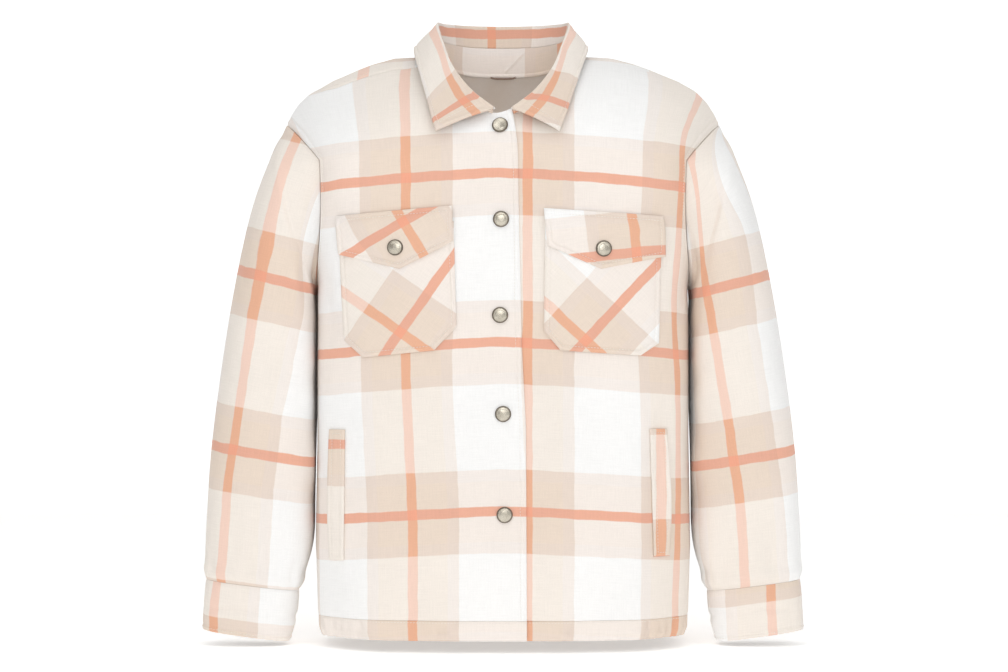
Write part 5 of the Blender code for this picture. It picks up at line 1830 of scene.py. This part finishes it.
def make_paper(name, glow):
    """Near-white paper that shines a little by itself."""
    nodes = Nodes(name)
    place = nodes.place()
    fine = nodes.noise(place, 90.0, 2.0)
    nodes.put(nodes.shader.inputs["Base Color"], nodes.mix(fine, PAPER, PAPER_DEEP))
    nodes.shader.inputs["Roughness"].default_value = 0.9
    nodes.shader.inputs["Emission Color"].default_value = (1.0, 1.0, 1.0, 1.0)
    nodes.shader.inputs["Emission Strength"].default_value = glow
    return nodes.material


def make_studio():
    """Paper floor that rises to a wall, the sky and the lamps."""
    profile = [(-PAPER_REACH, 0.0), (2.2, 0.0), (WALL_BEND_Y, 0.0)]
    for turn in np.linspace(0.0, math.pi / 2.0, 16)[1:]:
        profile.append((WALL_BEND_Y + WALL_BEND * math.sin(turn), WALL_BEND - WALL_BEND * math.cos(turn)))
    profile.append((WALL_Y, WALL_TOP))
    mesh = bpy.data.meshes.new("floor")
    points = []
    for x in (-PAPER_REACH, PAPER_REACH):
        points += [(x, y, FLOOR_Z + z) for y, z in profile]
    count = len(profile)
    faces = [(i, i + count, i + count + 1, i + 1) for i in range(count - 1)]
    mesh.from_pydata(points, [], faces)
    mesh.shade_smooth()
    mesh.materials.append(make_paper("studio_paper", PAPER_GLOW))
    mesh.materials.append(make_paper("studio_wall", WALL_GLOW))
    for number, face in enumerate(mesh.polygons):
        face.material_index = int(number > 0)
    floor = placed("floor", mesh)
    world = bpy.data.worlds.new("studio")
    world.use_nodes = True
    background = world.node_tree.nodes["Background"]
    background.inputs["Color"].default_value = (1.0, 0.988, 0.972, 1.0)
    background.inputs["Strength"].default_value = WORLD_LIGHT
    bpy.context.scene.world = world
    for name, place, size, power in LAMPS:
        make_light(name, place, size, power)
    make_lamp("neck", (0.0, -0.010, -0.130), NECK_POWER)
    bpy.context.scene.view_settings.view_transform = "Standard"


make_camera()
make_studio()
FLANNEL = make_flannel()
INSIDE = make_inside()
PEWTER = make_metal("aged_pewter", PEWTER_LIGHT, PEWTER_DEEP, 0.23)
# Dark metal for the cap rims and for the ring round each cap: painted shade
RIM_SHADE_METAL = make_metal("painted_shade_ring", SHADE_RING_LIGHT, SHADE_RING_DEEP, 0.40)
THREAD = make_plain("cream_thread", THREAD_LIGHT, THREAD_DEEP, 900.0, 0.75)
# Dark brown tape: painted shade for the shadow line under the back neck seam
SHADED_TAPE = make_plain("tape_painted_shade_brown", TAPE_SHADE_LIGHT, TAPE_SHADE_DEEP, 700.0, 0.85)

front_right = make_front("front_panel_right", SEAM_RIGHT, lap_edge, 0.0, True)
front_left = make_front("front_panel_left", SEAM_LEFT, under_edge, PANEL_WALL + LAP_CLEARANCE, False)
make_back()
make_hem_bands()
make_sleeve("right", SEAM_RIGHT, SLEEVE_LINE_RIGHT)
make_sleeve("left", SEAM_LEFT, SLEEVE_LINE_LEFT)
make_cuff("right", CUFF_LINE_RIGHT)
make_cuff("left", CUFF_LINE_LEFT)
make_collar_stand()
make_collar_fall()
front_surfaces = (Surface(front_right, True), Surface(front_left, False))
make_pockets(front_surfaces)
make_welts(front_surfaces)
make_snaps(front_right, front_surfaces)
make_loop()
make_stitches()

# Each piece: the solid it stands for, its flat size, its flat area and what it is sewn to
SHEETS = (
    ("front_panel_right", "front_right", (0.300, 0.680), 0.1825, "back_panel"),
    ("front_panel_left", "front_left", (0.300, 0.680), 0.1830, "back_panel"),
    ("back_panel", "back", (0.560, 0.700), 0.3680, "stand"),
    ("hem_band_right", "hem_band_front_right", (0.3050, 0.0240), None, "front_panel_right"),
    ("hem_band_left", "hem_band_front_left", (0.2960, 0.0240), None, "front_panel_left"),
    ("hem_band_rear", "hem_band_back", (0.5560, 0.0240), None, "back_panel"),
    ("sleeve_tube_right", "sleeve_right", (0.460, 0.520), 0.1790, "front_panel_right"),
    ("sleeve_tube_left", "sleeve_left", (0.460, 0.520), 0.1790, "front_panel_left"),
    ("cuff_band_right", "cuff_right", (0.2700, 0.0590), None, "sleeve_tube_right"),
    ("cuff_band_left", "cuff_left", (0.2700, 0.0590), None, "sleeve_tube_left"),
    ("stand", "collar_stand", (0.4300, 0.0320), 0.0092, "back_panel"),
    ("fall", "collar_fall", (0.4700, 0.1000), 0.0370, "stand"),
    ("pocket_bag_right", "chest_pocket_right", (0.1380, 0.1560), 0.0190, "front_panel_right"),
    ("pocket_bag_left", "chest_pocket_left", (0.1370, 0.1540), 0.0188, "front_panel_left"),
    ("pocket_flap_right", "flap_right", (0.1370, 0.0730), 0.0076, "front_panel_right"),
    ("pocket_flap_left", "flap_left", (0.1410, 0.0700), 0.0077, "front_panel_left"),
    ("side_welt_right", "welt_right", (0.0235, 0.1520), None, "front_panel_right"),
    ("side_welt_left", "welt_left", (0.0230, 0.1480), None, "front_panel_left"),
)
for name, piece in pieces.items():
    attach(piece, "root")
for name, node, flat, area, sewn_to in SHEETS:
    piece = pieces[name]
    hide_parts(node)
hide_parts("hanger_loop")
for number in range(1, 6):
    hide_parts("front_snap_%d" % number)
for side in ("right", "left"):
    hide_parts("flap_snap_" + side)
